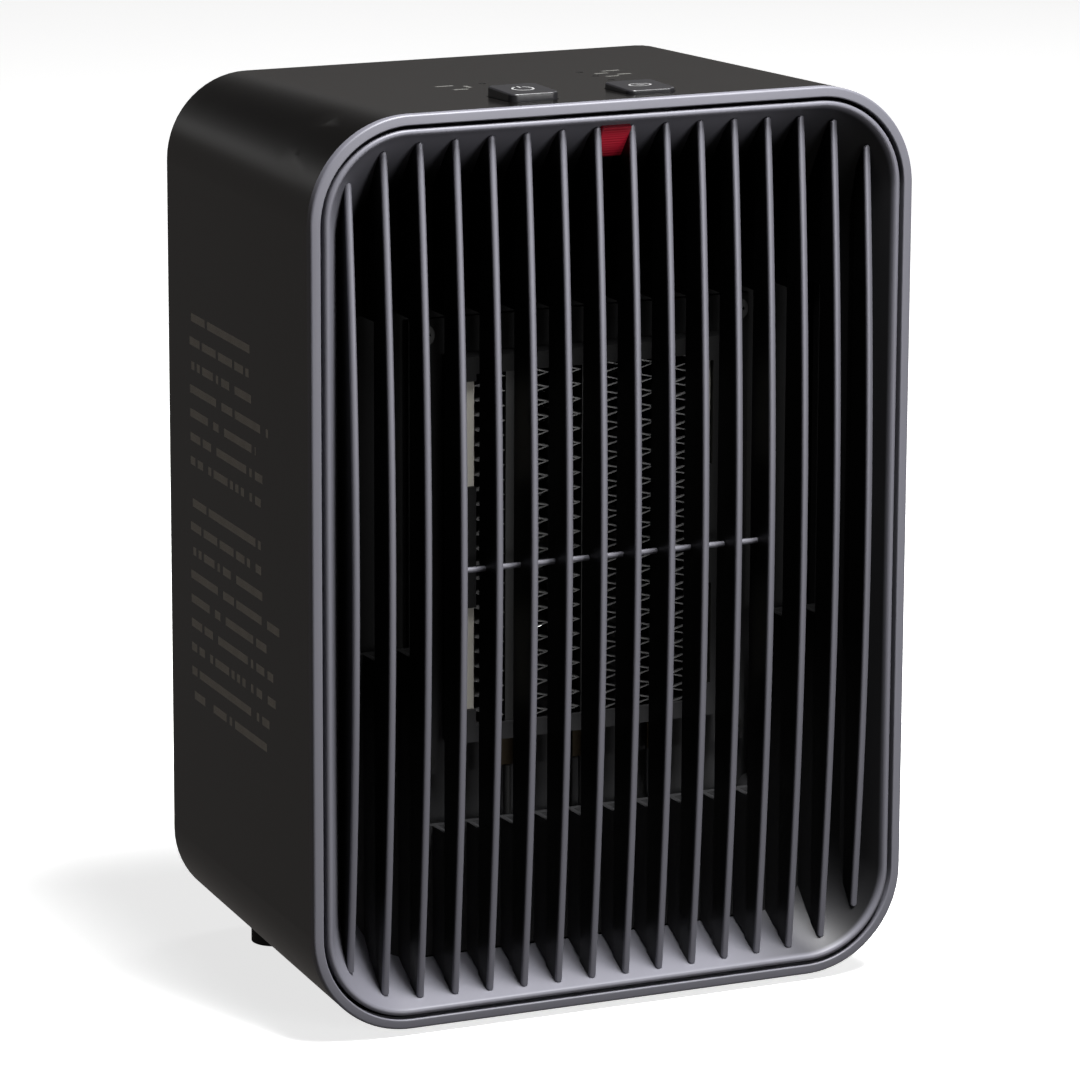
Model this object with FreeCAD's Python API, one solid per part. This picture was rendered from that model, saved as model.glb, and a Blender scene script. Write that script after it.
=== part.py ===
import FreeCAD, Part
import math
import os

# A compact ceramic fan heater that stands on a table. Millimetres, +Z up, front towards -Y.
# The model is laid out from the plane of the front rim: x to the right, depth behind that
# plane, height above the middle of the housing. OFFSET then puts the origin on the floor,
# under the middle of the whole heater.

Vec = FreeCAD.Vector

# housing
WIDTH = 180.0
HEIGHT = 254.0
DEPTH = 120.0
CORNER_R = 29.0          # corners of the rim, seen from the front
DRAFT = 5.0              # how far the back outline stands inside the front outline
WALL = 2.6
REAR_EDGE_R = 1.5

# front rim
RIM_FACE = 2.9
RIM_DEPTH = 3.0
RIM_EDGE_R = 1.1
RIM_FIT = 0.1            # between the housing's wall and the rim's tongue
TONGUE = 0.9
TONGUE_END = 7.0
BEZEL_CLEARANCE = 0.3    # between the tongue and the grille

# grille
CROWN = 3.5              # the slats' front edges lie on a sphere that stands this far proud
CROWN_R = 1220.0
SLAT_COUNT = 16
SLAT_MARGIN = 12.5       # from the housing's side to the middle of the outermost slat
SLAT = 2.0
SLAT_BACK = 9.0
SLAT_EDGE_R = 0.85
RIB_R = 0.9
RIB_SLATS = 10           # slats that the cross rib ties together
RIB_DEPTH = 5.0
LIP_R = 0.9
LIP_FACE = 1.3           # flat-topped lip between the shadow gap and the funnel
LIP_ROLL = ((0.7, 1.1), (3.0, 2.5))   # (depth, further inset) where the lip rolls into the funnel
BEZEL_BAND = 4.0         # depth of the solid band behind the lip
BEZEL_WALL = 1.8
BEZEL_END = 20.0
FUNNEL = 6.9             # inset gained between the lip and the back of the funnel

# fits
GAP = 0.35               # between plastic pieces that slide together once
FIT = 0.02               # between pieces that are pressed or clamped together
RUNNING = 0.04           # radial, shaft in bush

# baffle behind the grille
BAFFLE_DEPTH = 17.6
BAFFLE = 2.0
VANE = 1.6               # ribs that back up the slats outside the window
WINDOW_HALF = 52.0
WINDOW_LOW = -75.0
WINDOW_HIGH = 70.0
NOTCH_MARGIN = 17.0      # from the housing's side
NOTCH_LOW = -24.0

# screws
SCREW_R = 1.25
SCREW_HEAD_R = 3.0
SCREW_HEAD = 1.8
SCREW_HOLE = 1.6
SCREW_PILOT = SCREW_R + FIT
RECESS = 0.8             # depth and width of the cross recess in a screw head

# corner posts, on the diagonal from the middle of each corner's arc
FRONT_POST_REACH = 19.5
FRONT_POST_R = 3.5
REAR_POST_REACH = 18.4
REAR_POST_R = 4.2
REAR_POST_LENGTH = 22.0
TAB = 3.0
TAB_HALF = 5.0

# rear cover
COVER = 2.5
COVER_RECESS = 2.0       # from the housing's back edge to the cover's outer face
SLOT_LENGTH = 46.0
SLOT = 4.0
SLOT_PITCH = 8.0
SLOT_ROWS = 18
SLOT_BAR = 8.0           # upright bar between the two columns of slots

# cord gland
GLAND_X = -52.0
GLAND_ABOVE_BASE = 29.0
GLAND_R = 6.0
GLAND_FLANGE_R = 9.0
GLAND_BORE_R = 3.6
GLAND_LENGTH = 15.0
NUT_R = 8.5
NUT = 4.0

# feet
FOOT_DROP = 2.0          # the rim's lowest point above the floor
FOOT_R = 7.0
FOOT_MARGIN = 28.0       # from the housing's side to the middle of a foot
FOOT_DEPTHS = (24.0, 98.0)
FOOT_STEM_R = 2.5
FOOT_STEM = 5.0
FOOT_HEAD_R = 3.6
FOOT_SEAT = 0.5          # the head clears the rise of the housing's corner

# buttons
BUTTON_X = 14.5
BUTTON_Y = 17.0
BUTTON_R = 2.2
BUTTON_DEPTH = 19.5      # middle of the caps
POWER_X = -19.8
MODE_X = 15.3
POWER_PROUD = 2.5
MODE_PROUD = 1.4
BUTTON_TRAVEL = 0.8
BUTTON_FLANGE = 1.2
STEM_R = 1.9
STEM_DEPTH = 24.5

# control board under the top
BOARD = 1.6
BOARD_UNDER_TOP = 12.0   # from the rim's highest point to the board's upper face
BOARD_HALF = 42.0
BOARD_FRONT = 21.5
BOARD_BACK = 78.0
BOARD_POST_R = 3.2
BOARD_POST_X = 37.0
BOARD_POST_DEPTHS = (31.0, 73.0)
TACT = 6.0
TACT_HEIGHT = 3.5
PLUNGER_R = 1.6
PLUNGER = 2.7
PIPE_R = 1.0
PIPE_COLLAR_R = 1.9
PIPES = ((-16.2, 54.5), (18.3, 44.0), (18.3, 54.5), (18.3, 65.0))
LED_HEIGHT = 2.4

# indicator between the two middle slats
LENS_DEPTHS = (1.0, 8.0, 13.0)
LENS_UNDER_TOP = (16.4, 7.6, 6.4)
LAMP_R = 2.0
LAMP_UNDER_TOP = 9.8
LAMP_LENGTH = 11.0

# heater core
TUBES = 3
TUBE = 4.0
FIN_WIDTH = 9.5
FIN_STEP = 2.08
FIN = 0.3
CORE_HEIGHT = 100.0
CORE_MIDDLE = 2.0        # height of the core's and the fan's middle
CORE_FRONT = 18.6
CORE_DEPTH = 16.0
SIDE_BAR = 2.8
FRAME_WALL = 4.2
FRAME_LIP = 1.2
FRAME_DEPTH = 20.0
SIDE_WINDOWS = ((-43.0, -14.0), (20.0, 49.5))
FRAME_FLANGE = 2.0
FRAME_FLANGE_DEPTH = 24.0
FRAME_FLANGE_OUT = 10.0
TAB_BLADE = 0.8
TAB_WIDE = 6.3
TAB_DROP = 13.0

# duct and fan
DUCT_WALL = 2.0
DUCT_GAP = 3.2           # between the heater frame and the duct's inside
DUCT_FLANGE = 2.5
DUCT_MARGIN = 14.0       # from the housing's side; the flange parts front from back
DUCT_END = 58.0
RING_R = 47.0
RING_WALL = 2.0
RING_END = 82.0
BEAM = 4.0
BEAM_HALF = 7.0
FAN_R = 44.0
HUB_R = 13.0
HUB_FRONT = 62.0
HUB_BACK = 80.0
BLADES = 7
BLADE = 1.6
BLADE_CHORD = 23.0
BLADE_PITCH = 38.0
SHAFT_R = 2.0
SHAFT_ENDS = (60.2, 111.5)
CLIP_R = 4.5
CLIP = 1.6

# motor
BRACKET = 2.0
BRACKET_HALF = 24.0
BRACKET_POST_R = 3.6
BRACKET_POST = 2.0
STACK_FRONT = 90.0
STACK = 14.0
STACK_HALF = 24.0
STACK_LOW = -18.0
STACK_TOP = 46.0
COIL_WINDOW_LOW = 18.0
LIMB = 12.0
COIL_HALF = 14.0
STATOR_R = 12.4
AIR_GAP = 0.8
MOTOR_SCREW_X = 19.0
BUSH_R = 5.0
BUSH = 5.0
BOBBIN = 1.0
COIL = 5.0

# power board in the bottom
POWER_ABOVE_BASE = 16.6  # from the rim's lowest point to the board's upper face
POWER_HALF = 57.0
POWER_FRONT = 31.0
POWER_BACK = 103.0
POWER_POST_X = 51.0
POWER_POST_DEPTHS = (37.0, 97.0)
RELAY = (15.5, 19.0, 15.0)
RELAY_X = (-36.0, -12.0)
RELAY_DEPTH = 47.0
TERMINAL = (20.0, 10.0, 12.0)
TERMINAL_X = (-28.0, 2.0)
TERMINAL_DEPTH = 88.0
TRANSFORMER = (24.0, 20.0, 17.0)
TRANSFORMER_X = 30.0
TRANSFORMER_DEPTH = 80.0
CAPACITOR = (8.0, 18.0, 14.0)
CAPACITOR_X = 8.0
CAPACITOR_DEPTH = 50.0
TILT = (12.0, 12.0, 14.0)
TILT_X = 40.0
TILT_DEPTH = 50.0
TILT_BORE_R = 4.2
TILT_BALL_R = 3.2
TILT_FLOOR = 1.5
TILT_ROLL = 4.0

# thermal cut-out and fuse on top of the duct
CUTOFF_R = 8.0
CUTOFF_HEIGHT = 9.0
CUTOFF_DEPTH = 43.0
CUTOFF_X = -12.0
FUSE_R = 2.0
FUSE_LENGTH = 11.0
FUSE_X = 22.0

# leads
LEAD_R = 1.1
LEAD_BEND = 5.0
WALL_RUN_MARGIN = 20.0   # from the housing's side to the loom that runs down beside the duct
MOTOR_RUN_X = 56.0
PLUG_GAP = 0.3

# worked out from the sizes above
OFFSET = Vec(0, (CROWN - DEPTH) / 2, HEIGHT / 2 + FOOT_DROP)
SLAT_PITCH = (WIDTH - 2 * SLAT_MARGIN) / (SLAT_COUNT - 1)
BEZEL_INSET = WALL + RIM_FIT + TONGUE + BEZEL_CLEARANCE
NOTCH_HALF = WIDTH / 2 - NOTCH_MARGIN
FOOT_X = WIDTH / 2 - FOOT_MARGIN
DUCT_FLANGE_HALF = WIDTH / 2 - DUCT_MARGIN
WALL_RUN_X = WIDTH / 2 - WALL_RUN_MARGIN
GLAND_HEIGHT = GLAND_ABOVE_BASE - HEIGHT / 2
BOARD_HEIGHT = HEIGHT / 2 - BOARD_UNDER_TOP
POWER_HEIGHT = POWER_ABOVE_BASE - HEIGHT / 2
LENS_HEIGHTS = tuple(HEIGHT / 2 - drop for drop in LENS_UNDER_TOP)
LAMP_HEIGHT = HEIGHT / 2 - LAMP_UNDER_TOP
LIP_INSET = BEZEL_INSET + LIP_FACE
COVER_BACK = DEPTH - COVER_RECESS
COVER_FRONT = COVER_BACK - COVER
TAB_FRONT = BEZEL_END + GAP + BAFFLE + GAP
CORE_LOW = CORE_MIDDLE - CORE_HEIGHT / 2
CORE_HIGH = CORE_MIDDLE + CORE_HEIGHT / 2
MODULE = TUBE + 2 * FIN_WIDTH
FINS_HALF = TUBES * MODULE / 2
CORE_HALF = FINS_HALF + SIDE_BAR + 0.1
FRAME_FRONT = CORE_FRONT - FRAME_LIP - 0.4
DUCT_HALF = CORE_HALF + FRAME_WALL + DUCT_GAP
DUCT_TALL = CORE_HEIGHT / 2 + FRAME_WALL + DUCT_GAP
FLANGE_FRONT = FRAME_FLANGE_DEPTH + FRAME_FLANGE
DUCT_POST_X = DUCT_HALF + 10.0
DUCT_POST_HEIGHT = DUCT_TALL + 22.0
BEAM_BACK = RING_END + BEAM
BRACKET_FRONT = BEAM_BACK + FIT
REAR_BRACKET = STACK_FRONT + STACK + BRACKET_POST
BUTTONS = {"power": (POWER_X, POWER_PROUD), "mode": (MODE_X, MODE_PROUD)}
UNDER_TOP = HEIGHT / 2 - DRAFT * (BUTTON_DEPTH + BUTTON_Y / 2 + 1.5) / DEPTH - WALL
STEM_FOOT = BOARD_HEIGHT + TACT_HEIGHT + 1.1


def corner_signs():
    return ((1, 1), (-1, 1), (-1, -1), (1, -1))


def inward(depth):
    """How far the housing's outline has moved in at this depth."""
    return DRAFT * depth / DEPTH


def top_at(depth):
    return HEIGHT / 2 - inward(depth)


def outline(depth, inset):
    """Closed rounded rectangle, a fixed distance inside the housing's outline."""
    shift = inset + inward(depth)
    radius = CORNER_R - shift
    middle_x = WIDTH / 2 - CORNER_R
    middle_h = HEIGHT / 2 - CORNER_R
    arcs = []
    for quarter, (side, end) in enumerate(corner_signs()):
        points = []
        for step in range(3):
            turn = math.radians(90 * quarter + 45 * step)
            points.append(Vec(side * middle_x + radius * math.cos(turn), depth,
                              end * middle_h + radius * math.sin(turn)))
        arcs.append(points)
    edges = []
    for quarter, points in enumerate(arcs):
        edges.append(Part.Arc(*points).toShape())
        edges.append(Part.LineSegment(points[2], arcs[(quarter + 1) % 4][0]).toShape())
    return Part.Wire(edges)


def drafted(depth0, inset0, depth1, inset1):
    """Solid between two outlines."""
    return Part.makeLoft([outline(depth0, inset0), outline(depth1, inset1)], True, True)


def frustum_tube(depth0, depth1, inset, wall):
    hollow = drafted(depth0 - 1, inset + wall, depth1 + 1, inset + wall)
    return drafted(depth0, inset, depth1, inset).cut(hollow)


def box(x0, x1, depth0, depth1, low, high):
    return Part.makeBox(x1 - x0, depth1 - depth0, high - low, Vec(x0, depth0, low))


def block(x, depth, low, size):
    """Box that stands on a height, in the middle of x and depth."""
    return box(x - size[0] / 2, x + size[0] / 2, depth - size[1] / 2, depth + size[1] / 2,
               low, low + size[2])


def rod(x, height, radius, depth0, depth1):
    """Cylinder along the depth."""
    return Part.makeCylinder(radius, depth1 - depth0, Vec(x, depth0, height), Vec(0, 1, 0))


def upright(x, depth, radius, low, high):
    return Part.makeCylinder(radius, high - low, Vec(x, depth, low), Vec(0, 0, 1))


def rounded_block(x, depth, size_x, size_y, radius, low, high):
    """Upright block with rounded corners, seen from above."""
    body = box(x - size_x / 2, x + size_x / 2, depth - size_y / 2, depth + size_y / 2, low, high)
    posts = [e for e in body.Edges if abs(e.tangentAt(e.FirstParameter).z) > 0.9]
    return body.makeFillet(radius, posts)


def fuse(pieces):
    return pieces[0].multiFuse(pieces[1:]).removeSplitter() if len(pieces) > 1 else pieces[0]


def corner_point(side, end, reach):
    """Point on the diagonal of a corner, a distance from the middle of its arc."""
    across = reach * math.sqrt(0.5)
    return (side * (WIDTH / 2 - CORNER_R + across), end * (HEIGHT / 2 - CORNER_R + across))


def corner_points(reach):
    return [corner_point(side, end, reach) for side, end in corner_signs()]


def diagonal_bar(side, end, near, far, half, depth0, depth1):
    """Bar along a corner's diagonal, between two distances from the middle of its arc."""
    bar = box(near, far, depth0, depth1, -half, half)
    bar.rotate(Vec(0, 0, 0), Vec(0, 1, 0), -45)
    if side < 0:
        bar = bar.mirror(Vec(0, 0, 0), Vec(1, 0, 0))
    if end < 0:
        bar = bar.mirror(Vec(0, 0, 0), Vec(0, 0, 1))
    bar.translate(Vec(side * (WIDTH / 2 - CORNER_R), 0, end * (HEIGHT / 2 - CORNER_R)))
    return bar


def screw(length, radius=SCREW_R, head_r=SCREW_HEAD_R, head=SCREW_HEAD):
    """Screw along -Y with the underside of its head at the origin."""
    body = rod(0, 0, radius, -length, 0).fuse(rod(0, 0, head_r, 0, head))
    arm = head_r * 0.6
    cross = box(-arm, arm, head - RECESS, head + 1, -RECESS / 2, RECESS / 2)
    cross = cross.fuse(box(-RECESS / 2, RECESS / 2, head - RECESS, head + 1, -arm, arm))
    return body.cut(cross)


def screws_at(places, depth, length, **sizes):
    """One screw per (x, height), heads to the rear."""
    group = []
    for x, height in places:
        one = screw(length, **sizes)
        one.translate(Vec(x, depth, height))
        group.append(one)
    return Part.makeCompound(group)


def turned_screws(places, height, length, turn):
    """One screw per (x, depth), turned about X so that it points along Z."""
    group = []
    for x, depth in places:
        one = screw(length)
        one.rotate(Vec(0, 0, 0), Vec(1, 0, 0), turn)
        one.translate(Vec(x, depth, height))
        group.append(one)
    return Part.makeCompound(group)


def lead(points, radius=LEAD_R):
    """Round wire along straight runs with tangent bends."""
    route = [Vec(*p) for p in points]
    edges = []
    start = route[0]
    for before, here, after in zip(route, route[1:], route[2:]):
        into = (here - before).normalize()
        out = (after - here).normalize()
        half_turn = math.acos(max(-1.0, min(1.0, into.dot(out)))) / 2
        cut = LEAD_BEND * math.tan(half_turn)
        first = here - into * cut
        last = here + out * cut
        bow = here + (out - into).normalize() * (LEAD_BEND / math.cos(half_turn) - LEAD_BEND)
        edges.append(Part.LineSegment(start, first).toShape())
        edges.append(Part.Arc(first, bow, last).toShape())
        start = last
    edges.append(Part.LineSegment(start, route[-1]).toShape())
    path = Part.Wire(edges)
    section = Part.Wire(Part.makeCircle(radius, route[0], route[1] - route[0]))
    return path.makePipeShell([section], True, False)


def edges_at(shape, depth, low_reach=0.0):
    """Edges that lie in the plane of one depth, further out than low_reach in x or height."""
    found = []
    for edge in shape.Edges:
        bounds = edge.BoundBox
        flat = abs(bounds.YMin - depth) < 1e-4 and abs(bounds.YMax - depth) < 1e-4
        outer = max(abs(bounds.XMax), abs(bounds.XMin)) > low_reach[0] or max(
            abs(bounds.ZMax), abs(bounds.ZMin)) > low_reach[1]
        if flat and outer:
            found.append(edge)
    return found


def outer_edges(shape, depth, inset):
    """The edges of one outline, left out any outline further in."""
    shift = inset + inward(depth) + 0.4
    return edges_at(shape, depth, (WIDTH / 2 - shift, HEIGHT / 2 - shift))


# housing pieces

def shell():
    outside = drafted(RIM_DEPTH, 0, DEPTH, 0)
    outside = outside.makeFillet(REAR_EDGE_R, outer_edges(outside, DEPTH, 0))
    inside = drafted(RIM_DEPTH - 1, WALL, DEPTH + 1, WALL)
    body = outside.cut(inside)
    adds = []
    cuts = []
    for side, end in corner_signs():
        adds.append(diagonal_bar(side, end, FRONT_POST_REACH - TAB_HALF, CORNER_R, TAB_HALF,
                                 TAB_FRONT, TAB_FRONT + TAB))
        x, height = corner_point(side, end, FRONT_POST_REACH)
        cuts.append(rod(x, height, SCREW_HOLE, TAB_FRONT - 1, TAB_FRONT + TAB + 1))
        x, height = corner_point(side, end, REAR_POST_REACH)
        adds.append(rod(x, height, REAR_POST_R, COVER_FRONT - REAR_POST_LENGTH, COVER_FRONT - FIT))
        cuts.append(rod(x, height, SCREW_PILOT, COVER_FRONT - 14, COVER_FRONT + 1))
    for side in (-1, 1):
        for depth in BOARD_POST_DEPTHS:
            adds.append(upright(side * BOARD_POST_X, depth, BOARD_POST_R, BOARD_HEIGHT + FIT,
                                top_at(depth) - WALL / 2))
            cuts.append(upright(side * BOARD_POST_X, depth, SCREW_PILOT, BOARD_HEIGHT - 1,
                                BOARD_HEIGHT + 7))
        for depth in POWER_POST_DEPTHS:
            adds.append(upright(side * POWER_POST_X, depth, BOARD_POST_R,
                                WALL / 2 - top_at(depth), POWER_HEIGHT - BOARD - FIT))
            cuts.append(upright(side * POWER_POST_X, depth, SCREW_PILOT,
                                POWER_HEIGHT - BOARD - 8, POWER_HEIGHT))
        for depth in FOOT_DEPTHS:
            cuts.append(upright(side * FOOT_X, depth, FOOT_STEM_R + FIT, -HEIGHT / 2 - 1,
                                WALL + 3 - top_at(depth)))
    for x, proud in BUTTONS.values():
        cuts.append(rounded_block(x, BUTTON_DEPTH, BUTTON_X + 2 * GAP, BUTTON_Y + 2 * GAP,
                                  BUTTON_R + GAP, UNDER_TOP - 2, HEIGHT / 2 + 2))
    for x, depth in PIPES:
        cuts.append(upright(x, depth, PIPE_R + FIT, top_at(depth) - WALL - 2, HEIGHT / 2 + 2))
    body = body.multiFuse([piece.common(outside) for piece in adds])
    return body.cut(Part.makeCompound(cuts))


def front_trim_ring():
    body = drafted(0, 0, RIM_DEPTH, 0)
    body = body.makeFillet(RIM_EDGE_R, outer_edges(body, 0, 0))
    outer = WALL + RIM_FIT
    tongue = drafted(RIM_DEPTH, outer, TONGUE_END, outer)
    hole = drafted(-1, RIM_FACE, RIM_DEPTH - 1, RIM_FACE)
    deep = drafted(-1, outer + TONGUE, TONGUE_END + 1, outer + TONGUE)
    body = body.fuse(tongue).cut(deep)
    return body.cut(hole)


def funnel():
    """The space that the air leaves through, from the lip to the back of the bezel."""
    stations = [(-1.0, LIP_INSET), (0.0, LIP_INSET)]
    stations += [(depth, LIP_INSET + further) for depth, further in LIP_ROLL]
    stations.append((BEZEL_END, LIP_INSET + LIP_ROLL[-1][1] + FUNNEL))
    stations.append((BEZEL_END + 1, stations[-1][1]))
    pieces = [drafted(d0, i0, d1, i1) for (d0, i0), (d1, i1) in zip(stations, stations[1:])]
    return fuse(pieces)


def funnel_inset(depth):
    """Inset of the funnel's wall behind the lip."""
    start, further = LIP_ROLL[-1]
    return LIP_INSET + further + FUNNEL * (depth - start) / (BEZEL_END - start)


def slat(x):
    reach = math.sqrt(CROWN_R ** 2 - x ** 2)
    middle = CROWN_R - CROWN
    half = HEIGHT / 2 - BEZEL_INSET - LIP_FACE
    tip = middle - math.sqrt(reach ** 2 - half ** 2)
    side = x - SLAT / 2
    low = Vec(side, tip, -half)
    high = Vec(side, tip, half)
    front = Part.Arc(low, Vec(side, middle - reach, 0), high).toShape()
    back_low = Vec(side, SLAT_BACK, -half)
    back_high = Vec(side, SLAT_BACK, half)
    sides = [Part.LineSegment(high, back_high), Part.LineSegment(back_high, back_low),
             Part.LineSegment(back_low, low)]
    wire = Part.Wire([front] + [line.toShape() for line in sides])
    body = Part.Face(wire).extrude(Vec(SLAT, 0, 0))
    edges = [e for e in body.Edges if isinstance(e.Curve, Part.Circle)]
    return body.makeFillet(SLAT_EDGE_R, edges)


def slat_places():
    return [(k - (SLAT_COUNT - 1) / 2) * SLAT_PITCH for k in range(SLAT_COUNT)]


def lens_profile(grow):
    """Side profile of the indicator's wedge in depth and height, grown by a clearance."""
    front, foot, back = LENS_DEPTHS
    low, brow, high = LENS_HEIGHTS
    points = [(front - grow, brow), (foot - grow, low - grow), (back + grow, low - grow),
              (back + grow, high + grow), (front + 2 - grow, high + grow)]
    return [Vec(0, depth, height) for depth, height in points]


def lens_block(half_width, grow):
    points = lens_profile(grow)
    wire = Part.makePolygon(points + points[:1])
    body = Part.Face(wire).extrude(Vec(2 * half_width, 0, 0))
    body.translate(Vec(-half_width, 0, 0))
    return body


def front_grille():
    band = drafted(0, BEZEL_INSET, BEZEL_BAND, BEZEL_INSET)
    band = band.makeFillet(LIP_R, outer_edges(band, 0, BEZEL_INSET))
    skirt = frustum_tube(BEZEL_BAND - 0.5, TONGUE_END, BEZEL_INSET, BEZEL_WALL - 0.3)
    wall = drafted(BEZEL_BAND - 0.5, funnel_inset(BEZEL_BAND - 0.5) - BEZEL_WALL,
                   BEZEL_END, funnel_inset(BEZEL_END) - BEZEL_WALL)
    posts = [rod(x, h, FRONT_POST_R, BEZEL_BAND - 0.5, BEZEL_END)
             for x, h in corner_points(FRONT_POST_REACH)]
    body = band.multiFuse([skirt, wall] + posts).cut(funnel())
    limit = drafted(-CROWN - 1, LIP_INSET + LIP_ROLL[0][1], BEZEL_END, LIP_INSET + LIP_ROLL[0][1])
    slats = [slat(x).common(limit) for x in slat_places()]
    rib_half = (RIB_SLATS - 1) * SLAT_PITCH / 2
    rib = Part.makeCylinder(RIB_R, 2 * rib_half, Vec(-rib_half, RIB_DEPTH, 0), Vec(1, 0, 0))
    body = body.multiFuse(slats + [rib])
    holes = [rod(x, h, SCREW_PILOT, BEZEL_END - 8, BEZEL_END + 1)
             for x, h in corner_points(FRONT_POST_REACH)]
    lamp = rod(0, LAMP_HEIGHT, LAMP_R + FIT, LENS_DEPTHS[2], BEZEL_END + 1)
    window = lens_block(SLAT_PITCH / 2 - SLAT / 2, FIT)
    return body.cut(Part.makeCompound(holes + [lamp, window]))


def indicator_lens():
    return lens_block(SLAT_PITCH / 2 - SLAT / 2 - FIT, 0)


def indicator_lamp():
    front = LENS_DEPTHS[2] + 0.2
    glass = rod(0, LAMP_HEIGHT, LAMP_R, front + LAMP_R, front + LAMP_LENGTH)
    tip = Part.makeSphere(LAMP_R, Vec(0, front + LAMP_R, LAMP_HEIGHT))
    return glass.fuse(tip).removeSplitter()


def outlet_baffle():
    back = BEZEL_END + GAP + BAFFLE
    front_inset = funnel_inset(BAFFLE_DEPTH) + GAP
    back_inset = funnel_inset(back) + GAP
    outer = drafted(BAFFLE_DEPTH, front_inset, back, back_inset)
    inner = drafted(BAFFLE_DEPTH + BAFFLE, funnel_inset(BAFFLE_DEPTH + BAFFLE) + GAP + BAFFLE,
                    back + 1, funnel_inset(back + 1) + GAP + BAFFLE)
    body = outer.cut(inner)
    vane_front = SLAT_BACK + GAP
    vane_back = BAFFLE_DEPTH + BAFFLE / 2
    fence = drafted(vane_front, funnel_inset(vane_front) + GAP,
                    vane_back, funnel_inset(vane_back) + GAP)
    adds = [box(x - VANE / 2, x + VANE / 2, vane_front, vane_back, -HEIGHT / 2, HEIGHT / 2)
            .common(fence) for x in slat_places()]
    cuts = [box(-WINDOW_HALF, WINDOW_HALF, 0, BAFFLE_DEPTH + BAFFLE + 1, WINDOW_LOW, WINDOW_HIGH),
            box(-NOTCH_HALF, NOTCH_HALF, 0, BAFFLE_DEPTH + BAFFLE + 1, NOTCH_LOW, WINDOW_HIGH)]
    for side, end in corner_signs():
        x, height = corner_point(side, end, FRONT_POST_REACH)
        near = CORNER_R - back_inset - inward(back) - BAFFLE / 2
        adds.append(diagonal_bar(side, end, near, FRONT_POST_REACH, FRONT_POST_R,
                                 BEZEL_END + GAP, back))
        adds.append(rod(x, height, FRONT_POST_R, BEZEL_END + GAP, back))
        cuts.append(rod(x, height, SCREW_HOLE, BEZEL_END, back + 1))
        post = (side * DUCT_POST_X, CORE_MIDDLE + end * DUCT_POST_HEIGHT)
        adds.append(rod(*post, REAR_POST_R, BAFFLE_DEPTH + BAFFLE / 2, FLANGE_FRONT - FIT))
        cuts.append(rod(*post, SCREW_PILOT, FLANGE_FRONT - 8, FLANGE_FRONT + 1))
    return body.multiFuse(adds).cut(Part.makeCompound(cuts))


def front_screws():
    length = TAB_FRONT + TAB - BEZEL_END + 6
    return screws_at(corner_points(FRONT_POST_REACH), TAB_FRONT + TAB + FIT, length)


def slot_places():
    """Middle x and height of each intake slot."""
    across = (SLOT_LENGTH + SLOT_BAR) / 2
    first = CORE_MIDDLE - (SLOT_ROWS - 1) * SLOT_PITCH / 2
    return [(side * across, first + row * SLOT_PITCH) for row in range(SLOT_ROWS)
            for side in (-1, 1)]


def rear_cover():
    body = drafted(COVER_FRONT, WALL + GAP, COVER_BACK, WALL + GAP)
    cuts = []
    for x, height in slot_places():
        half = SLOT_LENGTH / 2 - SLOT / 2
        cuts.append(box(x - half, x + half, COVER_FRONT - 1, COVER_BACK + 1,
                        height - SLOT / 2, height + SLOT / 2))
        cuts.append(rod(x - half, height, SLOT / 2, COVER_FRONT - 1, COVER_BACK + 1))
        cuts.append(rod(x + half, height, SLOT / 2, COVER_FRONT - 1, COVER_BACK + 1))
    for x, height in corner_points(REAR_POST_REACH):
        cuts.append(rod(x, height, SCREW_HOLE, COVER_FRONT - 1, COVER_BACK + 1))
    cuts.append(rod(GLAND_X, GLAND_HEIGHT, GLAND_R + FIT, COVER_FRONT - 1, COVER_BACK + 1))
    return body.cut(fuse(cuts))


def rear_cover_screws():
    return screws_at(corner_points(REAR_POST_REACH), COVER_BACK + FIT, COVER + 11)


def cord_gland():
    front = DEPTH - GLAND_LENGTH
    body = rod(GLAND_X, GLAND_HEIGHT, GLAND_R, front, DEPTH - 0.2)
    flange = rod(GLAND_X, GLAND_HEIGHT, GLAND_FLANGE_R, COVER_BACK + FIT, DEPTH - 0.2)
    flange = flange.makeChamfer(0.6, edges_at(flange, DEPTH - 0.2, (0, 0)))
    bore = rod(GLAND_X, GLAND_HEIGHT, GLAND_BORE_R, front - 1, DEPTH + 1)
    return body.fuse(flange).cut(bore).removeSplitter()


def cord_gland_nut():
    points = []
    for corner in range(7):
        turn = math.radians(60 * corner)
        points.append(Vec(GLAND_X + NUT_R * math.cos(turn), COVER_FRONT - FIT - NUT,
                          GLAND_HEIGHT + NUT_R * math.sin(turn)))
    body = Part.Face(Part.makePolygon(points)).extrude(Vec(0, NUT, 0))
    return body.cut(rod(GLAND_X, GLAND_HEIGHT, GLAND_R + FIT, 0, DEPTH))


def rubber_feet():
    outside = drafted(-1, 0, DEPTH + 1, 0)
    feet = []
    for side in (-1, 1):
        for depth in FOOT_DEPTHS:
            x = side * FOOT_X
            floor = -HEIGHT / 2 - FOOT_DROP
            pad = upright(x, depth, FOOT_R, floor, 4 - top_at(depth)).cut(outside)
            inner = WALL - top_at(depth + FOOT_HEAD_R) + FOOT_SEAT
            stem = upright(x, depth, FOOT_STEM_R, floor + 1, inner + 1)
            head = upright(x, depth, FOOT_HEAD_R, inner, inner + FOOT_STEM / 2)
            feet.append(pad.fuse(stem).fuse(head).removeSplitter())
    return Part.makeCompound(feet)


# buttons and control board

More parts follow.
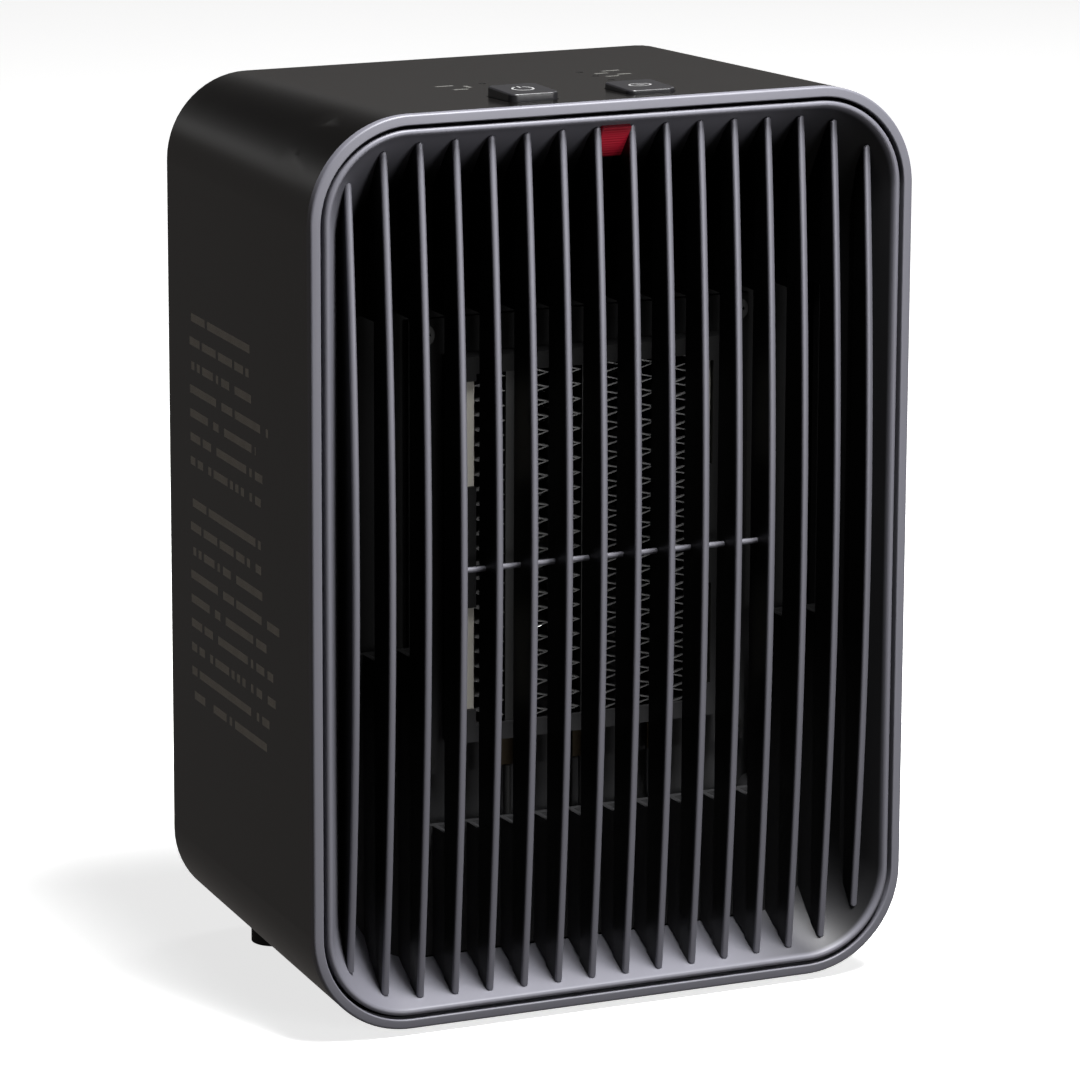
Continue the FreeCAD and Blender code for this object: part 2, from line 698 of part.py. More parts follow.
def button(x, proud):
    cap_top = top_at(BUTTON_DEPTH) + proud
    flange_top = UNDER_TOP - 0.15
    cap = rounded_block(x, BUTTON_DEPTH, BUTTON_X, BUTTON_Y, BUTTON_R, flange_top - 0.5, cap_top)
    rim = [e for e in cap.Edges if e.BoundBox.ZMin > cap_top - 1e-4]
    cap = cap.makeFillet(0.5, rim)
    flange = rounded_block(x, BUTTON_DEPTH, BUTTON_X + 2.4, BUTTON_Y + 2.4, BUTTON_R + 1.2,
                           flange_top - BUTTON_FLANGE, flange_top)
    stem = upright(x, STEM_DEPTH, STEM_R, STEM_FOOT, flange_top)
    return cap.multiFuse([flange, stem]).removeSplitter()


def plunger(x):
    return upright(x, STEM_DEPTH, PLUNGER_R, STEM_FOOT - FIT - PLUNGER, STEM_FOOT - FIT)


def tact_switches():
    group = []
    for x, proud in BUTTONS.values():
        body = block(x, STEM_DEPTH, BOARD_HEIGHT + FIT, (TACT, TACT, TACT_HEIGHT))
        low = STEM_FOOT - PLUNGER - BUTTON_TRAVEL - 0.2
        group.append(body.cut(upright(x, STEM_DEPTH, PLUNGER_R + 0.15, low, STEM_FOOT)))
    return Part.makeCompound(group)


def board_screw_places():
    return [(side * BOARD_POST_X, depth) for side in (-1, 1) for depth in BOARD_POST_DEPTHS]


def control_board():
    body = box(-BOARD_HALF, BOARD_HALF, BOARD_FRONT, BOARD_BACK, BOARD_HEIGHT - BOARD, BOARD_HEIGHT)
    holes = [upright(x, depth, SCREW_HOLE, BOARD_HEIGHT - BOARD - 1, BOARD_HEIGHT + 1)
             for x, depth in board_screw_places()]
    return body.cut(Part.makeCompound(holes))


def control_board_screws():
    return turned_screws(board_screw_places(), BOARD_HEIGHT - BOARD - FIT, 7.0, -90)


def light_pipes():
    group = []
    for x, depth in PIPES:
        foot = BOARD_HEIGHT + LED_HEIGHT + 0.4
        under = top_at(depth + PIPE_COLLAR_R) - WALL - FIT
        body = upright(x, depth, PIPE_R, foot, top_at(depth + PIPE_R) - 0.05)
        collar = upright(x, depth, PIPE_COLLAR_R, under - 1.2, under)
        group.append(body.fuse(collar).removeSplitter())
    return Part.makeCompound(group)


def board_leds():
    group = [block(x, depth, BOARD_HEIGHT + FIT, (3.0, 3.0, LED_HEIGHT)) for x, depth in PIPES]
    return Part.makeCompound(group)


# heater

def fin_pack(x0):
    """Corrugated strip between x0 and x0 + FIN_WIDTH."""
    steps = int(round(CORE_HEIGHT / FIN_STEP))
    step = CORE_HEIGHT / steps
    across = FIN / math.sin(math.atan2(step, FIN_WIDTH))
    near = x0 + FIT
    far = x0 + FIN_WIDTH - FIT - across
    up = [(far if k % 2 else near, CORE_LOW + k * step) for k in range(steps + 1)]
    down = [(x + across, height) for x, height in reversed(up)]
    points = [Vec(x, CORE_FRONT + 0.3, height) for x, height in up + down]
    return Part.Face(Part.makePolygon(points + points[:1])).extrude(Vec(0, CORE_DEPTH - 0.6, 0))


def module_middles():
    return [(k - (TUBES - 1) / 2) * MODULE for k in range(TUBES)]


def fin_packs():
    group = []
    for middle in module_middles():
        group.append(fin_pack(middle - MODULE / 2))
        group.append(fin_pack(middle + TUBE / 2))
    return Part.makeCompound(group)


def ptc_tubes():
    group = [box(middle - TUBE / 2 + FIT, middle + TUBE / 2 - FIT, CORE_FRONT,
                 CORE_FRONT + CORE_DEPTH, CORE_LOW, CORE_HIGH) for middle in module_middles()]
    return Part.makeCompound(group)


def side_bars():
    group = []
    for side in (-1, 1):
        near, far = sorted((side * (FINS_HALF + FIT), side * (FINS_HALF + SIDE_BAR)))
        group.append(box(near, far, CORE_FRONT, CORE_FRONT + CORE_DEPTH, CORE_LOW, CORE_HIGH))
    return Part.makeCompound(group)


def terminal_tab(x, grow):
    depth = CORE_FRONT + 2.5
    return box(x - TAB_WIDE / 2 - grow, x + TAB_WIDE / 2 + grow, depth - grow,
               depth + TAB_BLADE + grow, CORE_LOW - TAB_DROP - grow, CORE_LOW - FIT)


def electrode_tabs():
    return Part.makeCompound([terminal_tab(middle, 0) for middle in module_middles()])


def heater_frame():
    inner_x = CORE_HALF
    tall = CORE_HEIGHT / 2 + 0.1
    wide = inner_x + FRAME_WALL
    high = tall + FRAME_WALL
    back = FRAME_FRONT + FRAME_DEPTH

    def around(half_x, half_h, depth0, depth1):
        return box(-half_x, half_x, depth0, depth1, CORE_MIDDLE - half_h, CORE_MIDDLE + half_h)

    body = around(wide, high, FRAME_FRONT, back)
    flange = around(wide + FRAME_FLANGE_OUT, high + FRAME_FLANGE_OUT, FRAME_FLANGE_DEPTH,
                    FRAME_FLANGE_DEPTH + FRAME_FLANGE)
    cuts = [around(inner_x, tall, FRAME_FRONT + FRAME_LIP, back + 1),
            around(FINS_HALF, tall - 0.6, FRAME_FRONT - 1, back + 1)]
    for low, high_end in SIDE_WINDOWS:
        cuts.append(box(-inner_x, inner_x, FRAME_FRONT - 1, CORE_FRONT, low, high_end))
    cuts += [terminal_tab(middle, 0.15) for middle in module_middles()]
    cuts += [rod(x, h, SCREW_HOLE, FRAME_FLANGE_DEPTH - 1, FLANGE_FRONT + 1)
             for x, h in heater_screw_places()]
    return fuse([body, flange]).cut(fuse(cuts))


def heater_screw_places():
    x = CORE_HALF + FRAME_WALL + FRAME_FLANGE_OUT - 4
    height = CORE_HEIGHT / 2 + FRAME_WALL + FRAME_FLANGE_OUT - 4
    return [(side * x, CORE_MIDDLE + end * height) for side, end in corner_signs()]


def heater_screws():
    group = []
    for x, height in heater_screw_places():
        one = screw(FRAME_FLANGE + DUCT_FLANGE + 3)
        one.rotate(Vec(0, 0, 0), Vec(0, 0, 1), 180)
        one.translate(Vec(x, FRAME_FLANGE_DEPTH - FIT, height))
        group.append(one)
    return Part.makeCompound(group)


# duct, fan and motor

def centred_box(half_x, half_h, depth0, depth1):
    return box(-half_x, half_x, depth0, depth1, CORE_MIDDLE - half_h, CORE_MIDDLE + half_h)


def centred_rod(radius, depth0, depth1):
    return rod(0, CORE_MIDDLE, radius, depth0, depth1)


def duct_screw_places():
    return [(side * DUCT_POST_X, CORE_MIDDLE + end * DUCT_POST_HEIGHT)
            for side, end in corner_signs()]


def fan_duct():
    front = FLANGE_FRONT + FIT
    flange = centred_box(DUCT_FLANGE_HALF, DUCT_POST_HEIGHT + 5, front, front + DUCT_FLANGE)
    tunnel = centred_box(DUCT_HALF + DUCT_WALL, DUCT_TALL + DUCT_WALL, front, DUCT_END)
    ring = centred_rod(RING_R + RING_WALL, DUCT_END - DUCT_WALL, RING_END)
    body = fuse([flange, tunnel, ring])
    cuts = [centred_box(DUCT_HALF, DUCT_TALL, front - 1, DUCT_END - DUCT_WALL),
            centred_rod(RING_R, DUCT_END - DUCT_WALL - 1, RING_END + 1)]
    body = body.cut(fuse(cuts))
    beam = centred_box(RING_R + RING_WALL - 1, BEAM_HALF, RING_END - FIT, BEAM_BACK)
    beam = beam.common(centred_rod(RING_R + RING_WALL, RING_END - 1, BEAM_BACK + 1))
    holes = [centred_rod(BUSH_R + 1.2, RING_END - 1, BEAM_BACK + 1)]
    holes += [rod(x, h, SCREW_HOLE, front - 1, front + DUCT_FLANGE + 1)
              for x, h in duct_screw_places()]
    holes += [rod(x, h, SCREW_PILOT, front - 1, front + DUCT_FLANGE + 1)
              for x, h in heater_screw_places()]
    holes += [rod(side * MOTOR_SCREW_X, CORE_MIDDLE, SCREW_PILOT, RING_END - 1, BEAM_BACK + 1)
              for side in (-1, 1)]
    holes.append(upright(CUTOFF_X, CUTOFF_DEPTH, CUTOFF_R - 3, CORE_MIDDLE + DUCT_TALL - 1,
                         CORE_MIDDLE + DUCT_TALL + DUCT_WALL + 1))
    return body.fuse(beam).cut(Part.makeCompound(holes))


def duct_screws():
    depth = FLANGE_FRONT + FIT + DUCT_FLANGE + FIT
    return screws_at(duct_screw_places(), depth, DUCT_FLANGE + 6)


def blade(turn):
    reach = FAN_R - HUB_R + 3
    body = box(-BLADE / 2, BLADE / 2, -BLADE_CHORD / 2, BLADE_CHORD / 2, 0, reach)
    body.rotate(Vec(0, 0, 0), Vec(0, 0, 1), BLADE_PITCH)
    body.translate(Vec(0, (HUB_FRONT + HUB_BACK) / 2, HUB_R - 2))
    body.rotate(Vec(0, 0, 0), Vec(0, 1, 0), turn)
    body.translate(Vec(0, 0, CORE_MIDDLE))
    return body


def fan_impeller():
    hub = centred_rod(HUB_R, HUB_FRONT, HUB_BACK)
    hub = hub.makeFillet(2.0, edges_at(hub, HUB_FRONT, (-1, -1)))
    hollow = centred_rod(HUB_R - 2, HUB_FRONT + 4, HUB_BACK + 1)
    boss = centred_rod(SHAFT_R + 3, HUB_FRONT + 3, HUB_BACK)
    blades = [blade(k * 360 / BLADES) for k in range(BLADES)]
    envelope = centred_rod(FAN_R, HUB_FRONT, HUB_BACK)
    envelope = envelope.cut(centred_rod(HUB_R - 1, HUB_FRONT - 1, HUB_BACK + 1))
    blades = [one.common(envelope) for one in blades]
    body = hub.cut(hollow).fuse(boss).multiFuse(blades)
    return body.cut(centred_rod(SHAFT_R + FIT, 0, DEPTH))


def impeller_clip():
    ring = centred_rod(CLIP_R, HUB_FRONT - FIT - CLIP, HUB_FRONT - FIT)
    return ring.cut(centred_rod(SHAFT_R + FIT, 0, DEPTH))


def motor_shaft():
    body = centred_rod(SHAFT_R, *SHAFT_ENDS)
    return body.makeChamfer(0.4, edges_at(body, SHAFT_ENDS[0], (-1, -1)) + edges_at(
        body, SHAFT_ENDS[1], (-1, -1)))


def rotor_core():
    body = centred_rod(STATOR_R - AIR_GAP, STACK_FRONT, STACK_FRONT + STACK)
    return body.cut(centred_rod(SHAFT_R + FIT, 0, DEPTH))


def stator_core():
    back = STACK_FRONT + STACK
    body = box(-STACK_HALF, STACK_HALF, STACK_FRONT, back, CORE_MIDDLE + STACK_LOW,
               CORE_MIDDLE + STACK_TOP)
    window = box(-COIL_HALF, COIL_HALF, STACK_FRONT - 1, back + 1, CORE_MIDDLE + COIL_WINDOW_LOW,
                 CORE_MIDDLE + STACK_TOP - LIMB)
    cuts = [window, centred_rod(STATOR_R, STACK_FRONT - 1, back + 1)]
    cuts += [rod(side * MOTOR_SCREW_X, CORE_MIDDLE, SCREW_HOLE, STACK_FRONT - 1, back + 1)
             for side in (-1, 1)]
    return body.cut(fuse(cuts))


def around_limb(wall, half_x):
    """Rectangular sleeve around the stator's upper limb."""
    low = CORE_MIDDLE + STACK_TOP - LIMB
    high = CORE_MIDDLE + STACK_TOP
    return box(-half_x, half_x, STACK_FRONT - wall, STACK_FRONT + STACK + wall,
               low - wall, high + wall)


def coil_bobbin():
    half = COIL_HALF - 0.2
    body = around_limb(BOBBIN, half)
    for side in (-1, 1):
        cheek = around_limb(BOBBIN + COIL, half)
        cheek = cheek.common(box(min(side * half, side * (half - 1)),
                                 max(side * half, side * (half - 1)), 0, DEPTH, -HEIGHT, HEIGHT))
        body = body.fuse(cheek)
    return body.cut(around_limb(FIT, half + 1)).removeSplitter()


def stator_coil():
    half = COIL_HALF - 1.4
    body = around_limb(BOBBIN + COIL - 0.3, half)
    upright_edges = [e for e in body.Edges if abs(e.tangentAt(e.FirstParameter).x) > 0.9]
    body = body.makeFillet(1.5, upright_edges)
    return body.cut(around_limb(BOBBIN + FIT, half + 1))


def motor_bracket(depth, post_from, post_to):
    body = centred_box(BRACKET_HALF, BEAM_HALF, depth, depth + BRACKET)
    adds = []
    cuts = [centred_rod(BUSH_R + FIT, 0, DEPTH)]
    for side in (-1, 1):
        x = side * MOTOR_SCREW_X
        adds.append(rod(x, CORE_MIDDLE, BRACKET_POST_R, post_from, post_to))
        cuts.append(rod(x, CORE_MIDDLE, SCREW_HOLE, 0, DEPTH))
    return body.multiFuse(adds).cut(fuse(cuts)).removeSplitter()


def motor_bracket_front():
    return motor_bracket(BRACKET_FRONT, BRACKET_FRONT, STACK_FRONT - FIT)


def motor_bracket_rear():
    return motor_bracket(REAR_BRACKET, STACK_FRONT + STACK + FIT, REAR_BRACKET + BRACKET)


def bearings():
    front = BRACKET_FRONT + BRACKET - BUSH / 2 - 1.5
    rear = REAR_BRACKET - 1
    group = []
    for depth in (front, rear):
        bush = centred_rod(BUSH_R, depth, depth + BUSH - 1)
        group.append(bush.cut(centred_rod(SHAFT_R + RUNNING, 0, DEPTH)))
    return Part.makeCompound(group)


def motor_screws():
    places = [(side * MOTOR_SCREW_X, CORE_MIDDLE) for side in (-1, 1)]
    head = REAR_BRACKET + BRACKET + FIT
    return screws_at(places, head, head - RING_END)


# thermal protection

def duct_roof():
    return CORE_MIDDLE + DUCT_TALL + DUCT_WALL


def thermal_cutoff():
    low = duct_roof() + FIT
    can = upright(CUTOFF_X, CUTOFF_DEPTH, CUTOFF_R, low, low + 4)
    cap = upright(CUTOFF_X, CUTOFF_DEPTH, CUTOFF_R - 1, low + 4, low + CUTOFF_HEIGHT)
    blades = [block(CUTOFF_X + side * 4, CUTOFF_DEPTH, low + CUTOFF_HEIGHT - 1, (0.8, 6.3, 8))
              for side in (-1, 1)]
    return can.multiFuse([cap] + blades).removeSplitter()


def cutoff_bracket():
    low = duct_roof() + FIT
    strap = block(CUTOFF_X, CUTOFF_DEPTH, low, (2 * CUTOFF_R + 14, 9, 1.0))
    return strap.cut(upright(CUTOFF_X, CUTOFF_DEPTH, CUTOFF_R + FIT, low - 1, low + 5))


def thermal_fuse():
    height = duct_roof() + FUSE_R + FIT
    body = Part.makeCylinder(FUSE_R, FUSE_LENGTH, Vec(FUSE_X, CUTOFF_DEPTH, height), Vec(1, 0, 0))
    wires = Part.makeCylinder(0.5, FUSE_LENGTH + 10, Vec(FUSE_X - 5, CUTOFF_DEPTH, height),
                              Vec(1, 0, 0))
    return body.fuse(wires).removeSplitter()


# power board

def power_screw_places():
    return [(side * POWER_POST_X, depth) for side in (-1, 1) for depth in POWER_POST_DEPTHS]


def power_board():
    body = box(-POWER_HALF, POWER_HALF, POWER_FRONT, POWER_BACK, POWER_HEIGHT - BOARD, POWER_HEIGHT)
    holes = [upright(x, depth, SCREW_HOLE, POWER_HEIGHT - BOARD - 1, POWER_HEIGHT + 1)
             for x, depth in power_screw_places()]
    return body.cut(Part.makeCompound(holes))


def power_board_screws():
    return turned_screws(power_screw_places(), POWER_HEIGHT + FIT, 8.0, 90)


def on_board(places, depth, size):
    return Part.makeCompound([block(x, depth, POWER_HEIGHT + FIT, size) for x in places])


def terminal_blocks():
    group = []
    for x in TERMINAL_X:
        body = block(x, TERMINAL_DEPTH, POWER_HEIGHT + FIT, TERMINAL)
        for pole in (-1, 1):
            body = body.cut(upright(x + pole * TERMINAL[0] / 4, TERMINAL_DEPTH, 2.0,
                                    POWER_HEIGHT + TERMINAL[2] - 4, POWER_HEIGHT + 30))
        group.append(body)
    return Part.makeCompound(group)


def tilt_switch():
    body = block(TILT_X, TILT_DEPTH, POWER_HEIGHT + FIT, TILT)
    return body.cut(upright(TILT_X, TILT_DEPTH, TILT_BORE_R, POWER_HEIGHT + TILT_FLOOR,
                            POWER_HEIGHT + TILT[2] - 1.2))


def tilt_ball():
    height = POWER_HEIGHT + TILT_FLOOR + TILT_BALL_R + RUNNING
    return Part.makeSphere(TILT_BALL_R, Vec(TILT_X, TILT_DEPTH, height))


# wiring

def mains_leads():
    top = POWER_HEIGHT + TERMINAL[2] - 3.5
    group = []
    for pole in (-1, 1):
        x = TERMINAL_X[0] + pole * TERMINAL[0] / 4
        start = GLAND_X + pole * 1.6
        group.append(lead([(start, DEPTH - GLAND_LENGTH - PLUG_GAP, GLAND_HEIGHT),
                           (start, TERMINAL_DEPTH + 8 + pole * 3, GLAND_HEIGHT),
                           (x, TERMINAL_DEPTH, GLAND_HEIGHT + 9 + pole * 2),
                           (x, TERMINAL_DEPTH, top)]))
    return Part.makeCompound(group)


def heater_leads():
    depth = CORE_FRONT + 2.5 + TAB_BLADE / 2
    foot = CORE_LOW - TAB_DROP - PLUG_GAP
    group = []
    for x, relay_x in zip(module_middles(), (RELAY_X[0], RELAY_X[1], TERMINAL_X[1])):
        far = RELAY_DEPTH if relay_x in RELAY_X else TERMINAL_DEPTH
        height = POWER_HEIGHT + (RELAY[2] if relay_x in RELAY_X else TERMINAL[2] - 3.5)
        if relay_x in RELAY_X:
            end = [(relay_x, far - RELAY[1] / 2 - 7, POWER_HEIGHT + RELAY[2] / 2),
                   (relay_x, far - RELAY[1] / 2 - PLUG_GAP, POWER_HEIGHT + RELAY[2] / 2)]
        else:
            x_end = relay_x + TERMINAL[0] / 4
            end = [(x_end, far - 8, height + 13), (x_end, far, height + 12), (x_end, far, height)]
        group.append(lead([(x, depth, foot), (x, depth, foot - 22)] + end))
    return Part.makeCompound(group)


def motor_leads():
    """From the coil, down the right-hand wall: one wire to a terminal, one to the board."""
    depth = STACK_FRONT + STACK / 2 + 10
    ends = ((TERMINAL_X[1] - TERMINAL[0] / 4, TERMINAL_DEPTH, POWER_HEIGHT + TERMINAL[2] - 3.5),
            (TRANSFORMER_X - 10, POWER_BACK - 5, POWER_HEIGHT + PLUG_GAP))
    group = []
    for pole, (x_end, depth_end, foot) in zip((-1, 1), ends):
        side = MOTOR_RUN_X - pole * 2
        rise = CORE_MIDDLE + STACK_TOP - LIMB / 2 + pole * 3
        turn = POWER_HEIGHT + 26 - pole * 2
        group.append(lead([(STACK_HALF + 1, depth, rise), (side, depth, rise),
                           (side, depth, turn), (x_end, depth_end, turn - 1),
                           (x_end, depth_end, foot)]))
    return Part.makeCompound(group)


def board_cable():
    """Loom between the two boards, along the right-hand wall."""
    x = BOARD_HALF - 4
    depth = (POWER_FRONT + POWER_BACK) / 2 - 7
    top = BOARD_HEIGHT - BOARD - PLUG_GAP
    return lead([(x - 4, depth, top), (x - 4, depth, top - 9), (WALL_RUN_X, depth, top - 22),
                 (WALL_RUN_X, depth, POWER_HEIGHT + 22), (47, depth + 10, POWER_HEIGHT + 12),
                 (47, depth + 10, POWER_HEIGHT + PLUG_GAP)], 1.8)


def pieces():
    table = {
        "shell": shell, "front_trim_ring": front_trim_ring, "front_grille": front_grille,
        "indicator_lens": indicator_lens, "indicator_lamp": indicator_lamp,
        "outlet_baffle": outlet_baffle, "front_screws": front_screws,
        "rear_cover": rear_cover, "rear_cover_screws": rear_cover_screws,
        "cord_gland": cord_gland, "cord_gland_nut": cord_gland_nut, "rubber_feet": rubber_feet,
        "tact_switches": tact_switches, "control_board": control_board,
        "control_board_screws": control_board_screws, "light_pipes": light_pipes,
        "board_leds": board_leds, "fin_packs": fin_packs, "ptc_tubes": ptc_tubes,
        "side_bars": side_bars, "electrode_tabs": electrode_tabs, "heater_frame": heater_frame,
        "heater_screws": heater_screws, "fan_duct": fan_duct, "duct_screws": duct_screws,
        "fan_impeller": fan_impeller, "impeller_clip": impeller_clip, "motor_shaft": motor_shaft,
        "rotor_core": rotor_core, "stator_core": stator_core, "coil_bobbin": coil_bobbin,
        "stator_coil": stator_coil, "motor_bracket_front": motor_bracket_front,
        "motor_bracket_rear": motor_bracket_rear, "bearings": bearings,
        "motor_screws": motor_screws, "thermal_cutoff": thermal_cutoff,
        "cutoff_bracket": cutoff_bracket, "thermal_fuse": thermal_fuse,
        "power_board": power_board, "power_board_screws": power_board_screws,
        "terminal_blocks": terminal_blocks, "tilt_switch": tilt_switch, "tilt_ball": tilt_ball,
        "mains_leads": mains_leads, "heater_leads": heater_leads, "motor_leads": motor_leads,
        "board_cable": board_cable,
    }
    shapes = {name: make() for name, make in table.items()}
    for name, (x, proud) in BUTTONS.items():
        shapes[name + "_button"] = button(x, proud)
        shapes[name + "_switch_plunger"] = plunger(x)
    shapes["relays"] = on_board(RELAY_X, RELAY_DEPTH, RELAY)
    shapes["transformer"] = on_board([TRANSFORMER_X], TRANSFORMER_DEPTH, TRANSFORMER)
    shapes["capacitor"] = on_board([CAPACITOR_X], CAPACITOR_DEPTH, CAPACITOR)
    return shapes


def main():
    os.makedirs("parts", exist_ok=True)
    for name, shape in pieces().items():
        solids = shape.Solids
        placed = Part.makeCompound(solids) if len(solids) > 1 else solids[0]
        placed.translate(OFFSET)
        placed.exportStep(os.path.join("parts", name + ".step"))
        print(name, len(solids), placed.isValid(), round(placed.Volume, 1))


main()
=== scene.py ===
import math

import bmesh
import bpy
import numpy as np
from mathutils import Matrix, Vector


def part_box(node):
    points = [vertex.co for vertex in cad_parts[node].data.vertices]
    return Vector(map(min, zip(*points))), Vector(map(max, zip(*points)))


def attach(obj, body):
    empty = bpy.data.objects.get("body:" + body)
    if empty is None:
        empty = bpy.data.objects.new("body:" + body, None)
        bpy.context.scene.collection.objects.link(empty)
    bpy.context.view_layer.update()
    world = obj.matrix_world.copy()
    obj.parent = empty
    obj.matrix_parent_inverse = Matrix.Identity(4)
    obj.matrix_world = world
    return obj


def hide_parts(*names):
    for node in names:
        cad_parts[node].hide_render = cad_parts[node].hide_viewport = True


bl_info = {
    "name": "Ceramic fan heater",
    "version": (1, 0, 0),
    "blender": (4, 5, 0),
    "location": "3D View > Sidebar > Heater",
    "description": "Looks of a compact ceramic fan heater, built around its CAD frame",
    "category": "Object",
}

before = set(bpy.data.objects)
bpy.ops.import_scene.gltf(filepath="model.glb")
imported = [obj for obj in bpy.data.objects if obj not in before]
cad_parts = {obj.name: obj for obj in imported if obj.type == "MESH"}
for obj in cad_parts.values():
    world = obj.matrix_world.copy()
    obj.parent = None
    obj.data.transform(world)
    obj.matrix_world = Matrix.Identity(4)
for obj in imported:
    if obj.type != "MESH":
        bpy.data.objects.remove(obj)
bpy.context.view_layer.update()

MM = 0.001

# The front rim gives the outline that everything at the front follows.
RIM_LOW, RIM_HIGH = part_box("front_trim_ring")
RIM_PLANE = RIM_LOW.y
MIDDLE = (RIM_LOW.z + RIM_HIGH.z) / 2
HALF_WIDTH = 90.0 * MM
HALF_HEIGHT = 127.0 * MM
HOUSING_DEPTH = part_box("shell")[1].y - RIM_PLANE
BEZEL_END = 0.0175        # depth of the baffle's face, where the funnel stops
LENS_LOW, LENS_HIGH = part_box("indicator_lens")


def size(name, description, default, **more):
    """A length in metres that a user may change."""
    return bpy.props.FloatProperty(
        name=name, description=description, default=default, unit="LENGTH", precision=5, **more)


def tint(name, description, *rgb):
    """A linear colour that a user may change."""
    return bpy.props.FloatVectorProperty(
        name=name, description=description, default=rgb, subtype="COLOR", min=0, max=1)


class HeaterSizes(bpy.types.PropertyGroup):
    corner_radius: size("Corner radius", "Rounded corner of the rim", 29.0 * MM)
    draft: size("Draft", "How far the back outline stands inside the front one", 5.0 * MM)
    rim_face: size("Rim face", "Width of the rim's front face", 2.9 * MM)
    rim_depth: size("Rim depth", "Depth of the rim's outer band", 3.0 * MM)
    rim_edge: size("Rim edge", "Rounding of the rim's outer edge", 0.8 * MM)
    shadow_gap: size("Shadow gap", "Open joint between rim and bezel", 1.0 * MM)
    lip_radius: size("Lip radius", "Small rounding of the bezel's lip", 1.0 * MM)
    bezel_wall: size("Bezel wall", "Thickness of the bezel", 1.8 * MM)
    slat_width: size("Slat width", "Thickness of one slat", 2.0 * MM)
    slat_margin: size("Slat margin", "Housing side to the middle of the outer slat", 12.5 * MM)
    slat_back: size("Slat back", "Depth of the slats' back edges", 9.0 * MM)
    crown: size("Crown", "How far the middle of the slats stands proud", 3.5 * MM)
    crown_radius: size("Crown radius", "Sphere that the slats' front edges lie on", 1220.0 * MM)
    rib_radius: size("Cross rib radius", "Half thickness of the cross rib", 0.8 * MM)
    rib_depth: size("Cross rib depth", "Depth of the cross rib behind the rim", 5.0 * MM)
    slat_count: bpy.props.IntProperty(
        name="Slats", description="Upright slats in the grille", default=16, min=2)
    rib_slats: bpy.props.IntProperty(
        name="Slats on the rib", description="Slats that the cross rib ties", default=10, min=2)


class HeaterColours(bpy.types.PropertyGroup):
    housing: tint("Housing", "Warm black of the moulded housing", 0.0016, 0.0014, 0.0013)
    graphite: tint("Graphite", "Grey of the rim and grille", 0.135, 0.134, 0.157)
    cap: tint("Button caps", "Black of the two buttons", 0.014, 0.0137, 0.0155)
    red: tint("Indicator", "Red of the indicator's lens", 0.3, 0.008, 0.02)
    resin: tint("Inner resin", "Black of the heat-proof mouldings", 0.0018, 0.0018, 0.0019)
    # painted light: a paler black for the lower part of the inner mouldings
    painted_light: tint("Resin bloom", "Paler black low on the heat-proof mouldings", 0.04, 0.04, 0.042)
    print_grey: tint("Print", "Grey of the printed marks", 0.55, 0.5, 0.41)
    floor: tint("Floor", "Pale studio floor", 0.86, 0.86, 0.86)


class Value:
    """A node's output socket that can be used in sums, products and comparisons."""

    def __init__(self, finish, socket):
        self.finish = finish
        self.socket = socket

    def sum(self, operation, *others):
        inputs = dict(enumerate((self,) + others))
        return self.finish.node("ShaderNodeMath", {"operation": operation}, inputs)

    def __add__(self, other):
        return self.sum("ADD", other)

    __radd__ = __add__

    def __mul__(self, other):
        return self.sum("MULTIPLY", other)

    def __sub__(self, other):
        return self.sum("SUBTRACT", other)

    def __rsub__(self, other):
        return self * -1 + other

    def __truediv__(self, other):
        return self.sum("DIVIDE", other)

    def __abs__(self):
        return self.sum("ABSOLUTE")

    def __pow__(self, other):
        return self.sum("POWER", other)

    def __lt__(self, other):
        return self.sum("LESS_THAN", other)

    def __gt__(self, other):
        return self.sum("GREATER_THAN", other)

    def floor(self):
        return self.sum("FLOOR")

    def wrap(self):
        return self.sum("FRACT")

    def largest(self, other):
        return self.sum("MAXIMUM", other)

    def smallest(self, other):
        return self.sum("MINIMUM", other)

    def fade(self, low, high):
        """0 at low, 1 at high, smooth between."""
        settings = {"interpolation_type": "SMOOTHSTEP"}
        return self.finish.node("ShaderNodeMapRange", settings,
                                {"Value": self, "From Min": low, "From Max": high})


